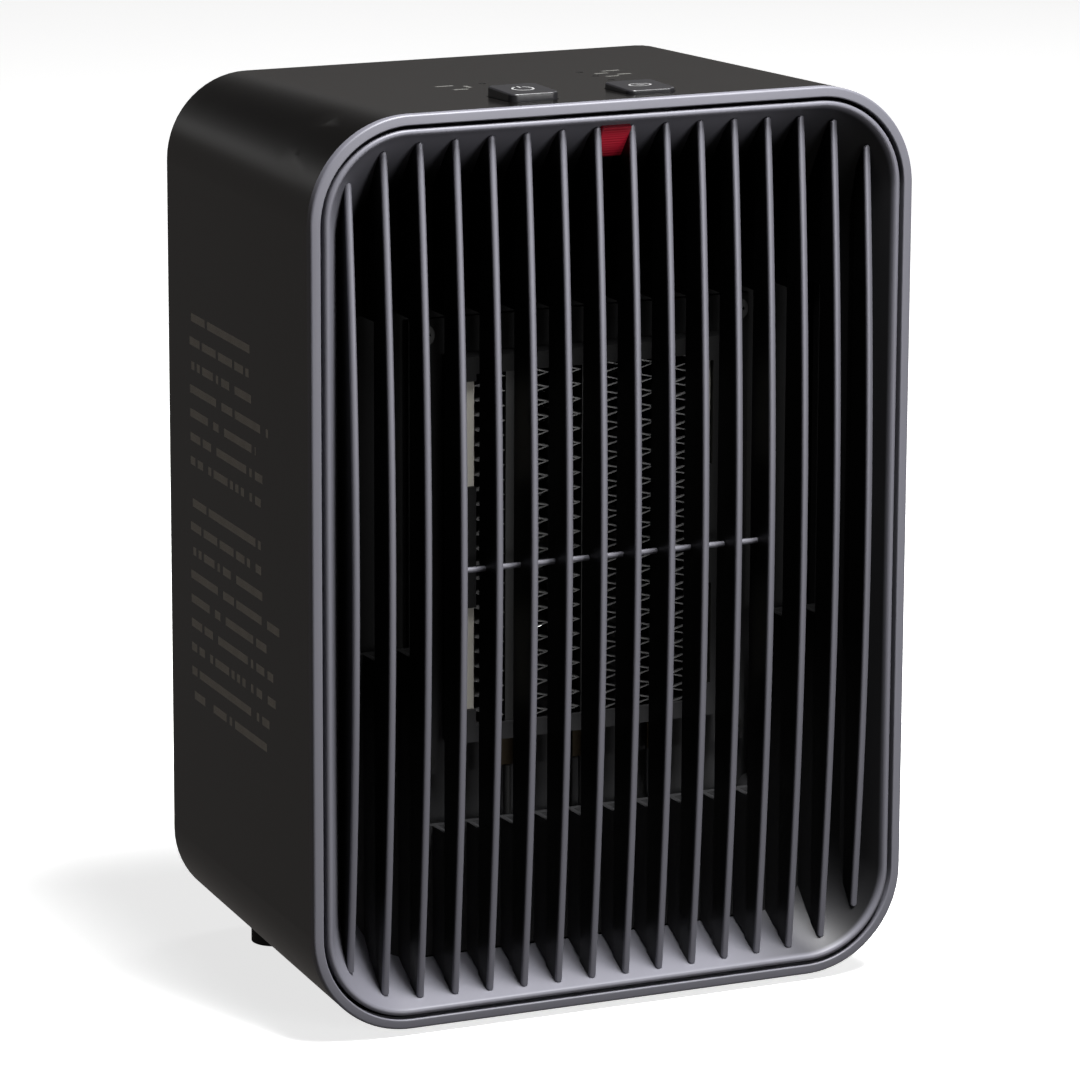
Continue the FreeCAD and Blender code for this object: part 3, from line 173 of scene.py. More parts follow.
class Finish:
    """A node material: one Principled BSDF and whatever feeds it."""

    made = {}

    def __init__(self, name):
        self.material = bpy.data.materials.new(name)
        self.material.use_nodes = True
        self.tree = self.material.node_tree
        self.tree.nodes.clear()
        output = self.tree.nodes.new("ShaderNodeOutputMaterial")
        self.shader = self.tree.nodes.new("ShaderNodeBsdfPrincipled")
        self.tree.links.new(self.shader.outputs["BSDF"], output.inputs["Surface"])
        place = self.tree.nodes.new("ShaderNodeTexCoord")
        self.place = Value(self, place.outputs["Object"])
        split = self.tree.nodes.new("ShaderNodeSeparateXYZ")
        self.tree.links.new(place.outputs["Object"], split.inputs[0])
        self.x, self.y, self.z = (Value(self, out) for out in split.outputs)

    def plug(self, value, socket):
        if isinstance(value, Value):
            self.tree.links.new(value.socket, socket)
        elif socket.type == "RGBA" and len(value) == 3:
            socket.default_value = (*value, 1.0)
        else:
            socket.default_value = value

    def node(self, kind, settings, inputs, output=0):
        """Any node: its settings first, then the values or links of its sockets."""
        made = self.tree.nodes.new(kind)
        for key, value in settings.items():
            setattr(made, key, value)
        for key, value in inputs.items():
            self.plug(value, made.inputs[key])
        return Value(self, made.outputs[output])

    def mix(self, factor, first, second):
        """Mix of two colours."""
        settings = {"data_type": "RGBA"}
        return self.node("ShaderNodeMix", settings, {0: factor, 6: first, 7: second}, 2)

    def noise(self, scale, detail=2.0, roughness=0.5):
        return self.node("ShaderNodeTexNoise", {}, {
            "Vector": self.place, "Scale": scale, "Detail": detail, "Roughness": roughness})

    def bump(self, height, strength, distance):
        inputs = {"Height": height, "Strength": strength, "Distance": distance}
        self.set(Normal=self.node("ShaderNodeBump", {}, inputs))

    def set(self, **sockets):
        """Sets sockets of the shader; underscores stand for spaces."""
        for name, value in sockets.items():
            self.plug(value, self.shader.inputs[name.replace("_", " ")])

    def paint(self, share, colour):
        """Lays a colour over the base colour that is already there, as far as share says."""
        old = Value(self, self.shader.inputs["Base Color"].links[0].from_socket)
        self.set(Base_Color=self.mix(share, old, tuple(colour)))


CLOUD_SCALE = 22.0       # slow clouds, per metre
GRAIN_STRENGTH = 0.35


def grain(finish, colour, rough, spread=0.05, shade=0.18, scale=2600.0, depth=0.018):
    """Moulded plastic: a fine spark-eroded grain, slow clouds in gloss and a little in colour.
    spread is the play in gloss, shade the play in colour, depth the grain's in millimetres."""
    cloud = finish.noise(CLOUD_SCALE, 3.0)
    speck = finish.noise(scale, 2.0, 0.6)
    dark = tuple(c * (1 - shade) for c in colour)
    light = tuple(min(1.0, c * (1 + shade)) for c in colour)
    finish.set(Base_Color=finish.mix(cloud * 0.6 + speck * 0.4, dark, light),
               Roughness=(cloud - 0.5) * spread + (speck - 0.5) * spread + rough)
    finish.bump(speck, GRAIN_STRENGTH, depth * MM)


def colours():
    return bpy.context.scene.heater_colours


def sizes():
    return bpy.context.scene.heater_sizes


def box_mask(across, along, middle, half):
    """1 inside a rectangle given by its middle and half sizes, 0 outside."""
    gap_x = abs(across - middle[0]) - half[0]
    gap_y = abs(along - middle[1]) - half[1]
    return gap_x.largest(gap_y) < 0


# printed blocks: height of the top, row pitch, rows, and the depths that the rows run between
PRINT_BLOCKS = ((60.0, 6.9, 7, 100.5, 34.0), (6.6, 7.05, 9, 100.8, 26.0))
PRINT_SIDE = -80.0       # the print lies on the left of this place across, in millimetres
PRINT_TOP = 100.0        # the marks beside the buttons lie above this height
HALF_STROKE = 0.17       # half the height of a dash, in rows
WORD = 2.3               # length of a word, in millimetres
WORDS_KEPT = 0.8
ROW_SHIFT = 37.7         # makes each row draw its own words
DASH_PITCH = 0.92
DASH_INK = 0.62          # inked share of a dash's pitch
RAGGED = 16.0            # how far short a row may stop, in millimetres

# small pale marks beside the indicator holes: middle x and depth, half width and half depth
TOP_MARKS = (((-26.6, 45.5), (2.2, 0.7)), ((-27.6, 54.5), (2.6, 0.7)), ((-22.6, 50.0), (0.6, 2.0)),
             ((22.6, 52.5), (2.0, 0.7)), ((27.6, 55.5), (2.0, 0.7)), ((22.6, 60.0), (2.0, 0.7)),
             ((27.6, 64.5), (2.6, 0.7)))
TOP_MARK_GREY = (0.13, 0.13, 0.12)


def print_rows(finish, depth, height, top, pitch, rows, first, last):
    """Rows of short dashes in words, as a printed block: generic marks with no lettering.
    depth and height are in millimetres; rows run from the depth first down to about last."""
    line = (height * -1 + top) / pitch
    row = line.floor()
    inside = (line > 0) * (line < rows)
    band = box_mask(line.wrap(), depth, (0.5, (first + last) / 2),
                    (HALF_STROKE, abs(first - last) / 2))
    word = finish.node("ShaderNodeTexWhiteNoise", {"noise_dimensions": "1D"},
                       {"W": (depth / WORD).floor() + row * ROW_SHIFT})
    stroke = (depth / DASH_PITCH).wrap() < DASH_INK
    reach = finish.node("ShaderNodeTexWhiteNoise", {"noise_dimensions": "1D"}, {"W": row + 0.37})
    ragged = depth > (reach * RAGGED + last)
    return inside * band * (word < WORDS_KEPT) * stroke * ragged


def housing_finish(name, marked):
    """Warm black moulding; the marked one carries the print on its left side and its top."""
    finish = Finish(name)
    grain(finish, tuple(colours().housing), 0.24, spread=0.03, depth=0.004)
    finish.set(Specular_IOR_Level=0.5, IOR=1.47)
    if marked:
        depth = (finish.y - RIM_PLANE) * 1000
        height = (finish.z - MIDDLE) * 1000
        across = finish.x * 1000
        marks = 0.0
        for block in PRINT_BLOCKS:
            marks = marks + print_rows(finish, depth, height, *block)
        marks = marks * (across < PRINT_SIDE)
        top = height > PRINT_TOP
        dashes = 0.0
        for middle, half in TOP_MARKS:
            dashes = dashes + box_mask(across, depth, middle, half) * top
        finish.paint(marks.smallest(1.0), colours().print_grey)
        finish.paint(dashes.smallest(1.0), TOP_MARK_GREY)
    return finish.material


def graphite(name, rough, metallic, specular):
    """Satin grey moulding with a very fine grain."""
    finish = Finish(name)
    grain(finish, tuple(colours().graphite), rough, spread=0.04, shade=0.05, scale=3000.0,
          depth=0.012)
    finish.set(Metallic=metallic, Specular_IOR_Level=specular)
    return finish


def graphite_finish():
    return graphite("graphite_satin", 0.48, 0.1, 0.5).material


# where the funnel's painted shade lies: depths in millimetres, places from the middle in metres
FUNNEL_SHADE_DEPTHS = (2.5, 16.0)
FUNNEL_SHADE_FLOOR = (-0.112, -0.085)
RIGHT_WALL_SHADE_DEPTHS = (0.2, 1.8)
RIGHT_WALL_SHADE_SPAN = (0.03, 0.078)
RIGHT_WALL_SHADE_SHARE = 0.96


def funnel_finish():
    """Graphite with painted shade: it darkens down the funnel, except along its lit floor, and
    towards its right wall."""
    finish = graphite("graphite_funnel", 0.48, 0.1, 0.4)
    depth = (finish.y - RIM_PLANE) * 1000
    depth_shade = depth.fade(*FUNNEL_SHADE_DEPTHS) * (finish.z - MIDDLE).fade(*FUNNEL_SHADE_FLOOR)
    shade = depth.fade(*RIGHT_WALL_SHADE_DEPTHS) * finish.x.fade(*RIGHT_WALL_SHADE_SPAN) * RIGHT_WALL_SHADE_SHARE
    # painted shade: the inner resin's black laid down the funnel and along its right wall
    finish.paint(depth_shade + shade * (1 - depth_shade), colours().resin)
    return finish.material


SLAT_SIDE_SHADE = (0.3, 0.62)  # how far behind the crown the painted shade turns a slat black, in slat widths


def slat_finish():
    """Graphite on the crowned front edge, with painted shade in plain black on the sides behind
    it.
    """
    s = sizes()
    finish = graphite("graphite_slats", 0.42, 0.35, 0.4)
    height = finish.z - MIDDLE
    crown = (finish.x * finish.x + height * height) / (2 * s.crown_radius) - s.crown
    behind = (finish.y - RIM_PLANE - crown) / s.slat_width
    # painted shade: the slats' sides are laid black behind the crown
    finish.paint(behind.fade(*SLAT_SIDE_SHADE), colours().resin)
    return finish.material


def plain_tree(name, colour, rough):
    """Moulded, stamped or turned stock: grain in colour and gloss."""
    finish = Finish(name)
    grain(finish, colour, rough, spread=0.12, shade=0.12, scale=900.0, depth=0.02)
    return finish


def plain_finish(name, colour, rough, metallic=0.0):
    finish = plain_tree(name, colour, rough)
    finish.set(Metallic=metallic)
    return finish.material


def finish_once(name, make):
    """One material per name, made when it is first asked for."""
    if name not in Finish.made:
        Finish.made[name] = make()
    return Finish.made[name]


PAINTED_LIGHT_LOW = (0.02, 0.08)   # metres below the middle between which the painted light comes up


def resin_finish():
    """Inner black resin, paler low down as painted light."""
    finish = plain_tree("inner_resin", tuple(colours().resin), 0.6)
    # painted light: the inner mouldings are laid paler low down
    finish.paint((MIDDLE - finish.z).fade(*PAINTED_LIGHT_LOW), colours().painted_light)
    finish.set(Specular_IOR_Level=0.12)
    return finish.material


def dress(node, material):
    """Gives a CAD node its finish."""
    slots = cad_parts[node].data.materials
    if len(slots) == 0:
        slots.append(material)
    for index in range(len(slots)):
        slots[index] = material


# shapes

CORNER_STEPS = 25        # points round each corner of the outline
SIDE_STEPS = 9           # points along each side
SIDE_END = 0.8 * MM      # from a corner to the first point of a side


def outline():
    """Rounded rectangle as an inner core and an outward direction, so that the outline at an
    inset is core + (corner radius - inset) * direction. Each corner is a quarter turn about one
    core point; each side runs along the core between two corners, closely spaced at its ends."""
    radius = sizes().corner_radius
    core = np.array([HALF_WIDTH - radius, HALF_HEIGHT - radius])
    turns = np.linspace(0, math.pi / 2, CORNER_STEPS)
    cores = []
    ways = []
    signs = np.array([[1, 1], [-1, 1], [-1, -1], [1, -1]])
    for quarter in range(4):
        angle = turns + quarter * math.pi / 2
        cores.append(np.repeat([core * signs[quarter]], len(turns), axis=0))
        ways.append(np.stack([np.cos(angle), np.sin(angle)], axis=1))
        start, end = core * signs[quarter], core * signs[(quarter + 1) % 4]
        near = SIDE_END / np.linalg.norm(end - start)
        share = np.concatenate([[near], np.linspace(0, 1, SIDE_STEPS)[1:-1], [1 - near]])
        cores.append(start + share[:, None] * (end - start))
        ways.append(np.repeat([ways[-1][-1]], len(share), axis=0))
    return np.concatenate(cores), np.concatenate(ways)


def inward(depth):
    """How far the housing's outline has moved in at a depth."""
    return sizes().draft * depth / HOUSING_DEPTH


SIDE_LEAN = 35.0         # degrees between the funnel's walls and the way that the air leaves
TOP_LEAN = 49.0
FOOT_LEAN = 24.5
LIP_TURN = 65.5          # degrees that the lip's rounding turns past its crest
EASE = 0.005             # depth over which the lip's slope eases into each wall's own


def closing(behind, lean):
    """How far a wall of the funnel has closed in at a distance behind the lip."""
    start, own = math.tan(math.radians(90 - LIP_TURN)), math.tan(math.radians(lean))
    return own * behind + (start - own) * EASE * (1 - np.exp(-behind / EASE))


def around(profile, behind=None):
    """Grid of points: the profile, a list of (inset, depth), carried round the outline. The
    rows that stand behind the funnel's lip draw the outline's core in, each side by its own
    slope, so that the corners keep their radius."""
    core, way = outline()
    inset, depth = np.array(profile).T
    reach = sizes().corner_radius - inset - inward(depth)
    behind = np.zeros(len(inset)) if behind is None else np.array(behind)
    half = core.max(axis=0)
    share = (core[:, 1] / half[1] + 1) / 2
    sides = closing(behind, SIDE_LEAN)[:, None] * (core[:, 0] / half[0])[None, :]
    ends = (closing(behind, TOP_LEAN)[:, None] * share[None, :]
            - closing(behind, FOOT_LEAN)[:, None] * (1 - share)[None, :])
    flat = core[None, :, :] - np.stack([sides, ends], axis=-1)
    flat = flat + reach[:, None, None] * way[None, :, :]
    points = np.empty((len(inset), len(core), 3))
    points[:, :, 0] = flat[:, :, 0]
    points[:, :, 1] = (RIM_PLANE + depth)[:, None]
    points[:, :, 2] = MIDDLE + flat[:, :, 1]
    return points


def arc(middle, radius, start, end, count):
    """Points on a circle, angles in degrees from the first axis towards the second."""
    angle = np.radians(np.linspace(start, end, count))
    return [(middle[0] + radius * math.cos(a), middle[1] + radius * math.sin(a)) for a in angle]


def ring_faces(rows, columns, closed, first=0):
    """Quads between rings of points that are numbered ring by ring; closed joins the last
    ring to the first."""
    row = np.arange(rows if closed else rows - 1)
    r, c = (part.ravel() for part in np.meshgrid(row, np.arange(columns), indexing="ij"))
    r1, c1 = (r + 1) % rows, (c + 1) % columns
    return first + np.stack([r * columns + c, r * columns + c1, r1 * columns + c1,
                             r1 * columns + c], axis=1)


def bar_faces(rows, columns, first=0):
    """Faces of a bar: the quads of its sides and one face on each end."""
    last = first + (rows - 1) * columns
    return ring_faces(rows, columns, False, first).tolist() + [
        list(range(first, first + columns)), list(range(last, last + columns))]


def make_piece(name, points, faces, material, body="housing", crease=35.0):
    """Mesh object from points and faces, outward, smooth except at creases."""
    mesh = bpy.data.meshes.new(name)
    mesh.from_pydata(points.reshape(-1, 3).tolist(), [], [list(map(int, f)) for f in faces])
    solid = bmesh.new()
    solid.from_mesh(mesh)
    bmesh.ops.recalc_face_normals(solid, faces=solid.faces)
    solid.to_mesh(mesh)
    solid.free()
    mesh.shade_smooth()
    mesh.set_sharp_from_angle(angle=math.radians(crease))
    mesh.materials.append(material)
    piece = bpy.data.objects.new(name, mesh)
    bpy.context.scene.collection.objects.link(piece)
    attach(piece, body)
    return piece


def carried(name, profile, material, behind=None):
    """Closed ring: a closed profile carried round the housing's outline."""
    points = around(profile, behind)
    faces = ring_faces(points.shape[0], points.shape[1], True)
    return make_piece(name, points, faces, material)


def bezel_inset():
    return sizes().rim_face + sizes().shadow_gap


def lip_profile():
    """(inset, depth) from the lip's outer side over its crest to where the funnel begins."""
    s = sizes()
    edge = bezel_inset() + s.lip_radius
    return arc((edge, s.lip_radius), s.lip_radius, 180, 270 + LIP_TURN, 14)


def funnel_height(x, depth, side):
    """Height of the funnel's surface above a place across its width, at the top (side 1) or
    at the bottom (side -1)."""
    foot, start = lip_profile()[-1]
    radius = sizes().corner_radius
    behind = np.clip(depth - start, 0, None)
    reach = radius - foot - inward(depth)
    core = HALF_WIDTH - radius - closing(behind, SIDE_LEAN)
    base = HALF_HEIGHT - radius - closing(behind, TOP_LEAN if side > 0 else FOOT_LEAN)
    over = np.clip(np.abs(x) - core, 0, None)
    return base + np.sqrt(np.clip(reach ** 2 - over ** 2, 0, None))


class HEATER_OT_rim(bpy.types.Operator):
    """Front rim: a softly bevelled band round the front of the housing"""
    bl_idname = "heater.rim"
    bl_label = "Front rim"

    def execute(self, context):
        s = sizes()
        face = s.rim_face
        inner = 0.35 * MM        # rounding of the inner edge
        fall = 0.2 * MM          # how far the face slopes back to the outer edge
        profile = [(0.0, s.rim_depth), (0.0, s.rim_edge + fall)]
        profile += arc((s.rim_edge, s.rim_edge + fall), s.rim_edge, 180, 264, 9)[1:]
        profile += arc((face - inner, inner), inner, 258, 360, 6)
        profile += [(face, s.rim_depth)]
        material = finish_once("graphite", graphite_finish)
        rim = carried("front_rim", profile, material)
        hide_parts("front_trim_ring")
        return {"FINISHED"}


SKIRT = 1.5 * MM         # thickness of the skirt behind the lip, and the depths it runs between
SKIRT_LOW = 4.0 * MM
SKIRT_END = 7.0 * MM
BACK_START = 6.3 * MM    # where the back of the funnel's wall meets the skirt
FUNNEL_STEPS = 19


class HEATER_OT_bezel(bpy.types.Operator):
    """Bezel: rounded lip that rolls into a sloping funnel, with a thin wall behind it"""
    bl_idname = "heater.bezel"
    bl_label = "Bezel"

    def execute(self, context):
        s = sizes()
        lip = lip_profile()
        foot, start = lip[-1]
        depths = start + (BEZEL_END - start) * np.linspace(0, 1, FUNNEL_STEPS)[1:] ** 1.5
        wall = [(foot, depth) for depth in depths]
        back = [(foot - s.bezel_wall, BEZEL_END), (foot - s.bezel_wall, BACK_START)]
        skirt = [(bezel_inset() + SKIRT, SKIRT_LOW), (bezel_inset() + SKIRT, SKIRT_END),
                 (bezel_inset(), SKIRT_END)]
        behind = [0.0] * len(lip) + [depth - start for _, depth in wall + back]
        behind += [0.0] * len(skirt)
        material = finish_once("funnel", funnel_finish)
        bezel = carried("grille_bezel", lip + wall + back + skirt, material,
                        behind)
        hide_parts("front_grille")
        return {"FINISHED"}


def slat_places():
    half = HALF_WIDTH - sizes().slat_margin
    return np.linspace(-half, half, sizes().slat_count)


def crown_depth(x, z):
    """Depth of the slats' front edges: a sphere with its middle behind the grille."""
    s = sizes()
    return s.crown_radius - s.crown - np.sqrt(s.crown_radius ** 2 - x ** 2 - z ** 2)


NOSE = 0.55 * MM         # depth of the slats' rounded front edge
NOSE_POWER = 0.6         # below 1, so that the edge is blunter than a half circle
FRONT_SINK = 0.1         # how far the ends dip under the funnel, in millimetres
BACK_SINK = 0.9
TIP = 0.6                # length over which the front narrows at each end, in half widths
TIP_ROWS = (0.0, 0.05, 0.15, 0.3, 0.5, 0.75, 1.0, 1.6)   # rows near an end, in tip lengths
TIP_LEAST = 0.05         # narrowest part of a tip, in slat widths
SLAT_ROWS = 33           # rows between the tips
SETTLE = 4               # rounds in which an end's height and depth settle on the funnel


class HEATER_OT_slats(bpy.types.Operator):
    """Slats: upright blades with a rounded front edge on a shallow sphere. The section is
    carried up each slat, its front narrows to a blunt tip close to both ends, and each end
    dips just under the funnel's surface"""
    bl_idname = "heater.slats"
    bl_label = "Slats"

    def execute(self, context):
        s = sizes()
        half = s.slat_width / 2
        section = [(x, NOSE * (1 + y)) for x, y in arc((0.0, 0.0), 1.0, 180, 360, 13)]
        section = [(half * np.sign(x) * abs(x) ** NOSE_POWER, y) for x, y in section]
        section += [(half, 1.0), (-half, 1.0)]
        across, behind = np.array(section).T
        is_back = behind == 1.0
        middle = slat_places()[:, None, None] + across[None, None, :]
        sink = np.where(is_back, BACK_SINK, FRONT_SINK) * MM
        place = np.where(is_back, middle, slat_places()[:, None, None])
        from_end = np.array(TIP_ROWS) * half * TIP
        longest = from_end[-1]
        tips = np.ones(len(TIP_ROWS))
        share = np.concatenate([-tips, np.linspace(-1, 1, SLAT_ROWS), tips])
        extra = np.concatenate([from_end - longest, np.zeros(SLAT_ROWS),
                                (longest - from_end)[::-1]])
        near = np.sqrt(1 - np.clip(1 - from_end / from_end[-2], 0, 1) ** 2)
        narrow = np.concatenate([near, np.ones(SLAT_ROWS), near[::-1]])
        height = 0.0
        for side in (-1, 1):
            reach = np.full(middle.shape, HALF_HEIGHT)
            for _ in range(SETTLE):
                depth = np.where(is_back, s.slat_back, crown_depth(place, reach) + NOSE)
                reach = funnel_height(place, depth, side) + sink
            own = np.clip(share * side, 0, None)[None, :, None] * (reach - longest) * side
            height = height + own
        height = height + extra[None, :, None]
        front = crown_depth(middle, height) + np.where(is_back, 0.0, behind)
        depth = np.where(is_back, s.slat_back, front)
        taper = np.where(is_back[None, :], 1.0, np.maximum(narrow, TIP_LEAST)[:, None])
        x = slat_places()[:, None, None] + across[None, None, :] * taper[None]
        points = np.stack([x, RIM_PLANE + depth, MIDDLE + height], axis=-1)
        count, rows, columns = points.shape[:3]
        faces = []
        for slat in range(count):
            faces += bar_faces(rows, columns, slat * rows * columns)
        material = finish_once("slats", slat_finish)
        make_piece("grille_slats", points, faces, material)
        return {"FINISHED"}


RIB_SIDES = 16
RIB_STEPS = 28


class HEATER_OT_rib(bpy.types.Operator):
    """Cross rib: a round bar that ties the middle slats together"""
    bl_idname = "heater.rib"
    bl_label = "Cross rib"

    def execute(self, context):
        s = sizes()
        places = slat_places()
        spare = (s.slat_count - s.rib_slats) // 2
        ends = places[spare], places[-1 - spare]
        ring = np.array(arc((s.rib_depth, 0.0), s.rib_radius, 0, 360, RIB_SIDES + 1))[:-1]
        across = np.linspace(ends[0], ends[1], RIB_STEPS)
        points = np.empty((len(across), len(ring), 3))
        points[:, :, 0] = across[:, None]
        points[:, :, 1] = RIM_PLANE + ring[None, :, 0]
        points[:, :, 2] = MIDDLE + ring[None, :, 1]
        material = finish_once("graphite", graphite_finish)
        make_piece("grille_rib", points, bar_faces(len(across), len(ring)), material)
        return {"FINISHED"}


LENS_BAND = 0.9          # pitch of the bands in the lens's glow, in millimetres
LENS_BROW = 8.8 * MM     # height at which the sloping face begins, above the lens's foot
LENS_SLOPE = 7.0 * MM    # how far back the face runs down to the foot
LENS_RIDGES = 12
RIDGE = 0.14 * MM        # depth of the grooves between the ridges
LENS_TOP = 2.0 * MM      # how far back the brow leans


def lens_finish():
    """Red resin with a dull banded glow in its lower half."""
    finish = Finish("indicator_red")
    height = (finish.z - LENS_LOW.z) / (LENS_HIGH.z - LENS_LOW.z)
    band = (finish.z * 1000 / LENS_BAND).wrap()
    dark = tuple(c * 0.35 for c in colours().red)
    glow = height.fade(-0.1, 0.45) * (1 - height.fade(0.6, 1.0))
    colour = finish.mix(glow, dark, tuple(colours().red))
    lit = finish.mix(glow * (band * 0.6 + 0.4), (0.03, 0.0, 0.002), (0.42, 0.015, 0.035))
    finish.set(Base_Color=colour, Roughness=0.25, Emission_Color=lit)
    finish.set(Emission_Strength=0.35, Coat_Weight=0.4, Coat_Roughness=0.15)
    return finish.material


class HEATER_OT_indicator(bpy.types.Operator):
    """Indicator: a red wedge between the two middle slats, with fine level ribs on its face"""
    bl_idname = "heater.indicator"
    bl_label = "Indicator"

    def execute(self, context):
        low, high = LENS_LOW, LENS_HIGH
        brow = low.z + LENS_BROW
        foot = low.y + LENS_SLOPE
        share = np.linspace(0, 1, LENS_RIDGES * 2 + 1)
        ridge = np.where(np.arange(len(share)) % 2 == 1, 0.0, RIDGE)
        face = [(low.y + (foot - low.y) * t + r, brow + (low.z - brow) * t)
                for t, r in zip(share, ridge)]
        profile = np.array(face + [(high.y, low.z), (high.y, high.z),
                                   (low.y + LENS_TOP, high.z)])
        across = np.array([low.x, high.x])
        points = np.empty((2, len(profile), 3))
        points[:, :, 0] = across[:, None]
        points[:, :, 1:] = profile[None]
        material = finish_once("lens", lens_finish)
        lens = make_piece("indicator_wedge", points, bar_faces(2, len(profile)), material,
                          crease=10.0)
        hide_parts("indicator_lens")
        return {"FINISHED"}


class HEATER_OT_housing(bpy.types.Operator):
    """Housing: warm black moulded shell with printed marks, and the back cover"""
    bl_idname = "heater.housing"
    bl_label = "Housing"

    def execute(self, context):
        dress("shell", housing_finish("housing_black_marked", True))
        dress("rear_cover", housing_finish("housing_black_plain", False))
        return {"FINISHED"}


# painted light on the caps' front faces
CAP_FRONT_PAINTED_LIGHT = (0.07, 0.068, 0.095)
CAP_MARK = (0.3, 0.3, 0.3)
MARK_LINE = 0.28         # half the width of a ring's line, in millimetres


def cap_finish(name, node, draw):
    """Button plastic, with painted light that makes its front paler, and a printed symbol on its
    top.
    """
    finish = Finish(name)
    low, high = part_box(node)
    grain(finish, tuple(colours().cap), 0.3, spread=0.04)
    finish.set(Specular_IOR_Level=0.5)
    across = (finish.x - (low.x + high.x) / 2) * 1000
    along = (finish.y - (low.y + high.y) / 2) * 1000
    top = finish.z > high.z - 0.2 * MM
    mark = (draw(across, along) * top).smallest(1.0)
    # painted light: the front faces are laid paler
    finish.paint(finish.y < low.y + 0.3 * MM, CAP_FRONT_PAINTED_LIGHT)
    finish.paint(mark, CAP_MARK)
    return finish.material


def ring_mark(across, along, radius, squash):
    """Ring that is squashed along one axis."""
    distance = (across * across + (along * squash) * (along * squash)) ** 0.5
    return abs(distance - radius) < MARK_LINE


def draw_standby(across, along):
    """A ring with a gap and a bar in it."""
    gap = 1 - box_mask(across, along, (0.0, 3.0), (1.1, 2.0))
    bar = box_mask(across, along, (0.0, 2.6), (0.25, 1.5))
    return ring_mark(across, along, 2.9, 1.0) * gap + bar


def draw_loop(across, along):
    """A flat ring with a dash in its middle."""
    bar = box_mask(across, along, (0.0, 0.0), (1.2, 0.25))
    return ring_mark(across, along, 3.1, 1.5) + bar


class HEATER_OT_buttons(bpy.types.Operator):
    """Buttons: two caps with generic symbols and the light pipes"""
    bl_idname = "heater.buttons"
    bl_label = "Buttons"

    def execute(self, context):
        dress("power_button", cap_finish("cap_power", "power_button", draw_standby))
        dress("mode_button", cap_finish("cap_mode", "mode_button", draw_loop))
        dress("light_pipes", plain_finish("pipe_smoke", (0.002, 0.002, 0.002), 0.35))
        return {"FINISHED"}


# stock finishes of the inner and small CAD nodes: colour, roughness, metallic
STOCK = {
    "black_screw": ((0.012, 0.012, 0.012), 0.4, 0.6),
    "screw_steel": ((0.42, 0.42, 0.43), 0.35, 1.0),
    "rubber": ((0.018, 0.018, 0.018), 0.8, 0.0),
    "gland_black": ((0.012, 0.012, 0.012), 0.5, 0.0),
    "fin_aluminium": ((0.12, 0.12, 0.12), 0.45, 0.8),
    "tube_aluminium": ((0.02, 0.02, 0.02), 0.5, 0.5),
    "bar_ceramic": ((0.26, 0.25, 0.22), 0.6, 0.0),
    "tab_brass": ((0.03, 0.022, 0.012), 0.5, 0.8),
    "motor_steel": ((0.16, 0.16, 0.165), 0.45, 0.9),
    "copper_wire": ((0.45, 0.13, 0.05), 0.35, 0.9),
    "nylon": ((0.6, 0.6, 0.56), 0.5, 0.0),
    "bush_bronze": ((0.4, 0.23, 0.1), 0.45, 1.0),
    "ball_steel": ((0.6, 0.6, 0.6), 0.15, 1.0),
    "phenolic": ((0.08, 0.035, 0.015), 0.5, 0.0),
    "fuse_metal": ((0.45, 0.42, 0.36), 0.35, 1.0),
    "board_green": ((0.01, 0.075, 0.03), 0.35, 0.0),
    "relay_blue": ((0.01, 0.03, 0.1), 0.45, 0.0),
    "tape_yellow": ((0.5, 0.36, 0.03), 0.5, 0.0),
    "film_yellow": ((0.55, 0.4, 0.02), 0.3, 0.0),
    "terminal_green": ((0.015, 0.14, 0.05), 0.5, 0.0),
    "switch_black": ((0.012, 0.012, 0.012), 0.5, 0.0),
    "fan_black": ((0.012, 0.012, 0.013), 0.45, 0.0),
    "sleeve_black": ((0.014, 0.014, 0.014), 0.6, 0.0),
    "led_white": ((0.6, 0.6, 0.55), 0.3, 0.0),
    "lamp_glass": ((0.5, 0.42, 0.4), 0.12, 0.0),
}

CORE_NODES = {
    "fin_packs": "fin_aluminium", "ptc_tubes": "tube_aluminium", "side_bars": "bar_ceramic",
    "electrode_tabs": "tab_brass", "heater_leads": "sleeve_black",
    "thermal_cutoff": "phenolic", "cutoff_bracket": "screw_steel", "thermal_fuse": "fuse_metal",
    "heater_screws": "black_screw", "duct_screws": "black_screw", "front_screws": "black_screw",
    "indicator_lamp": "lamp_glass",
}

DRIVE_NODES = {
    "fan_impeller": "fan_black", "impeller_clip": "screw_steel", "motor_shaft": "screw_steel",
    "rotor_core": "motor_steel", "stator_core": "motor_steel", "coil_bobbin": "nylon",
    "stator_coil": "copper_wire", "motor_bracket_front": "motor_steel",
    "motor_bracket_rear": "motor_steel", "bearings": "bush_bronze",
    "motor_screws": "screw_steel", "motor_leads": "sleeve_black",
}

BOARD_NODES = {
    "control_board": "board_green", "control_board_screws": "screw_steel",
    "tact_switches": "switch_black", "power_switch_plunger": "nylon",
    "mode_switch_plunger": "nylon", "board_leds": "led_white", "power_board": "board_green",
    "power_board_screws": "screw_steel", "relays": "relay_blue",
    "terminal_blocks": "terminal_green", "transformer": "tape_yellow",
    "capacitor": "film_yellow", "tilt_switch": "switch_black", "tilt_ball": "ball_steel",
    "board_cable": "sleeve_black", "mains_leads": "sleeve_black",
}

HARDWARE_NODES = {
    "rear_cover_screws": "screw_steel", "cord_gland": "gland_black",
    "cord_gland_nut": "gland_black", "rubber_feet": "rubber",
}


def dress_all(table):
    """Gives each node of a table its stock finish."""
    for node, stock in table.items():
        colour, rough, metallic = STOCK[stock]
        dress(node, finish_once(
            stock, lambda: plain_finish(stock, colour, rough, metallic)))


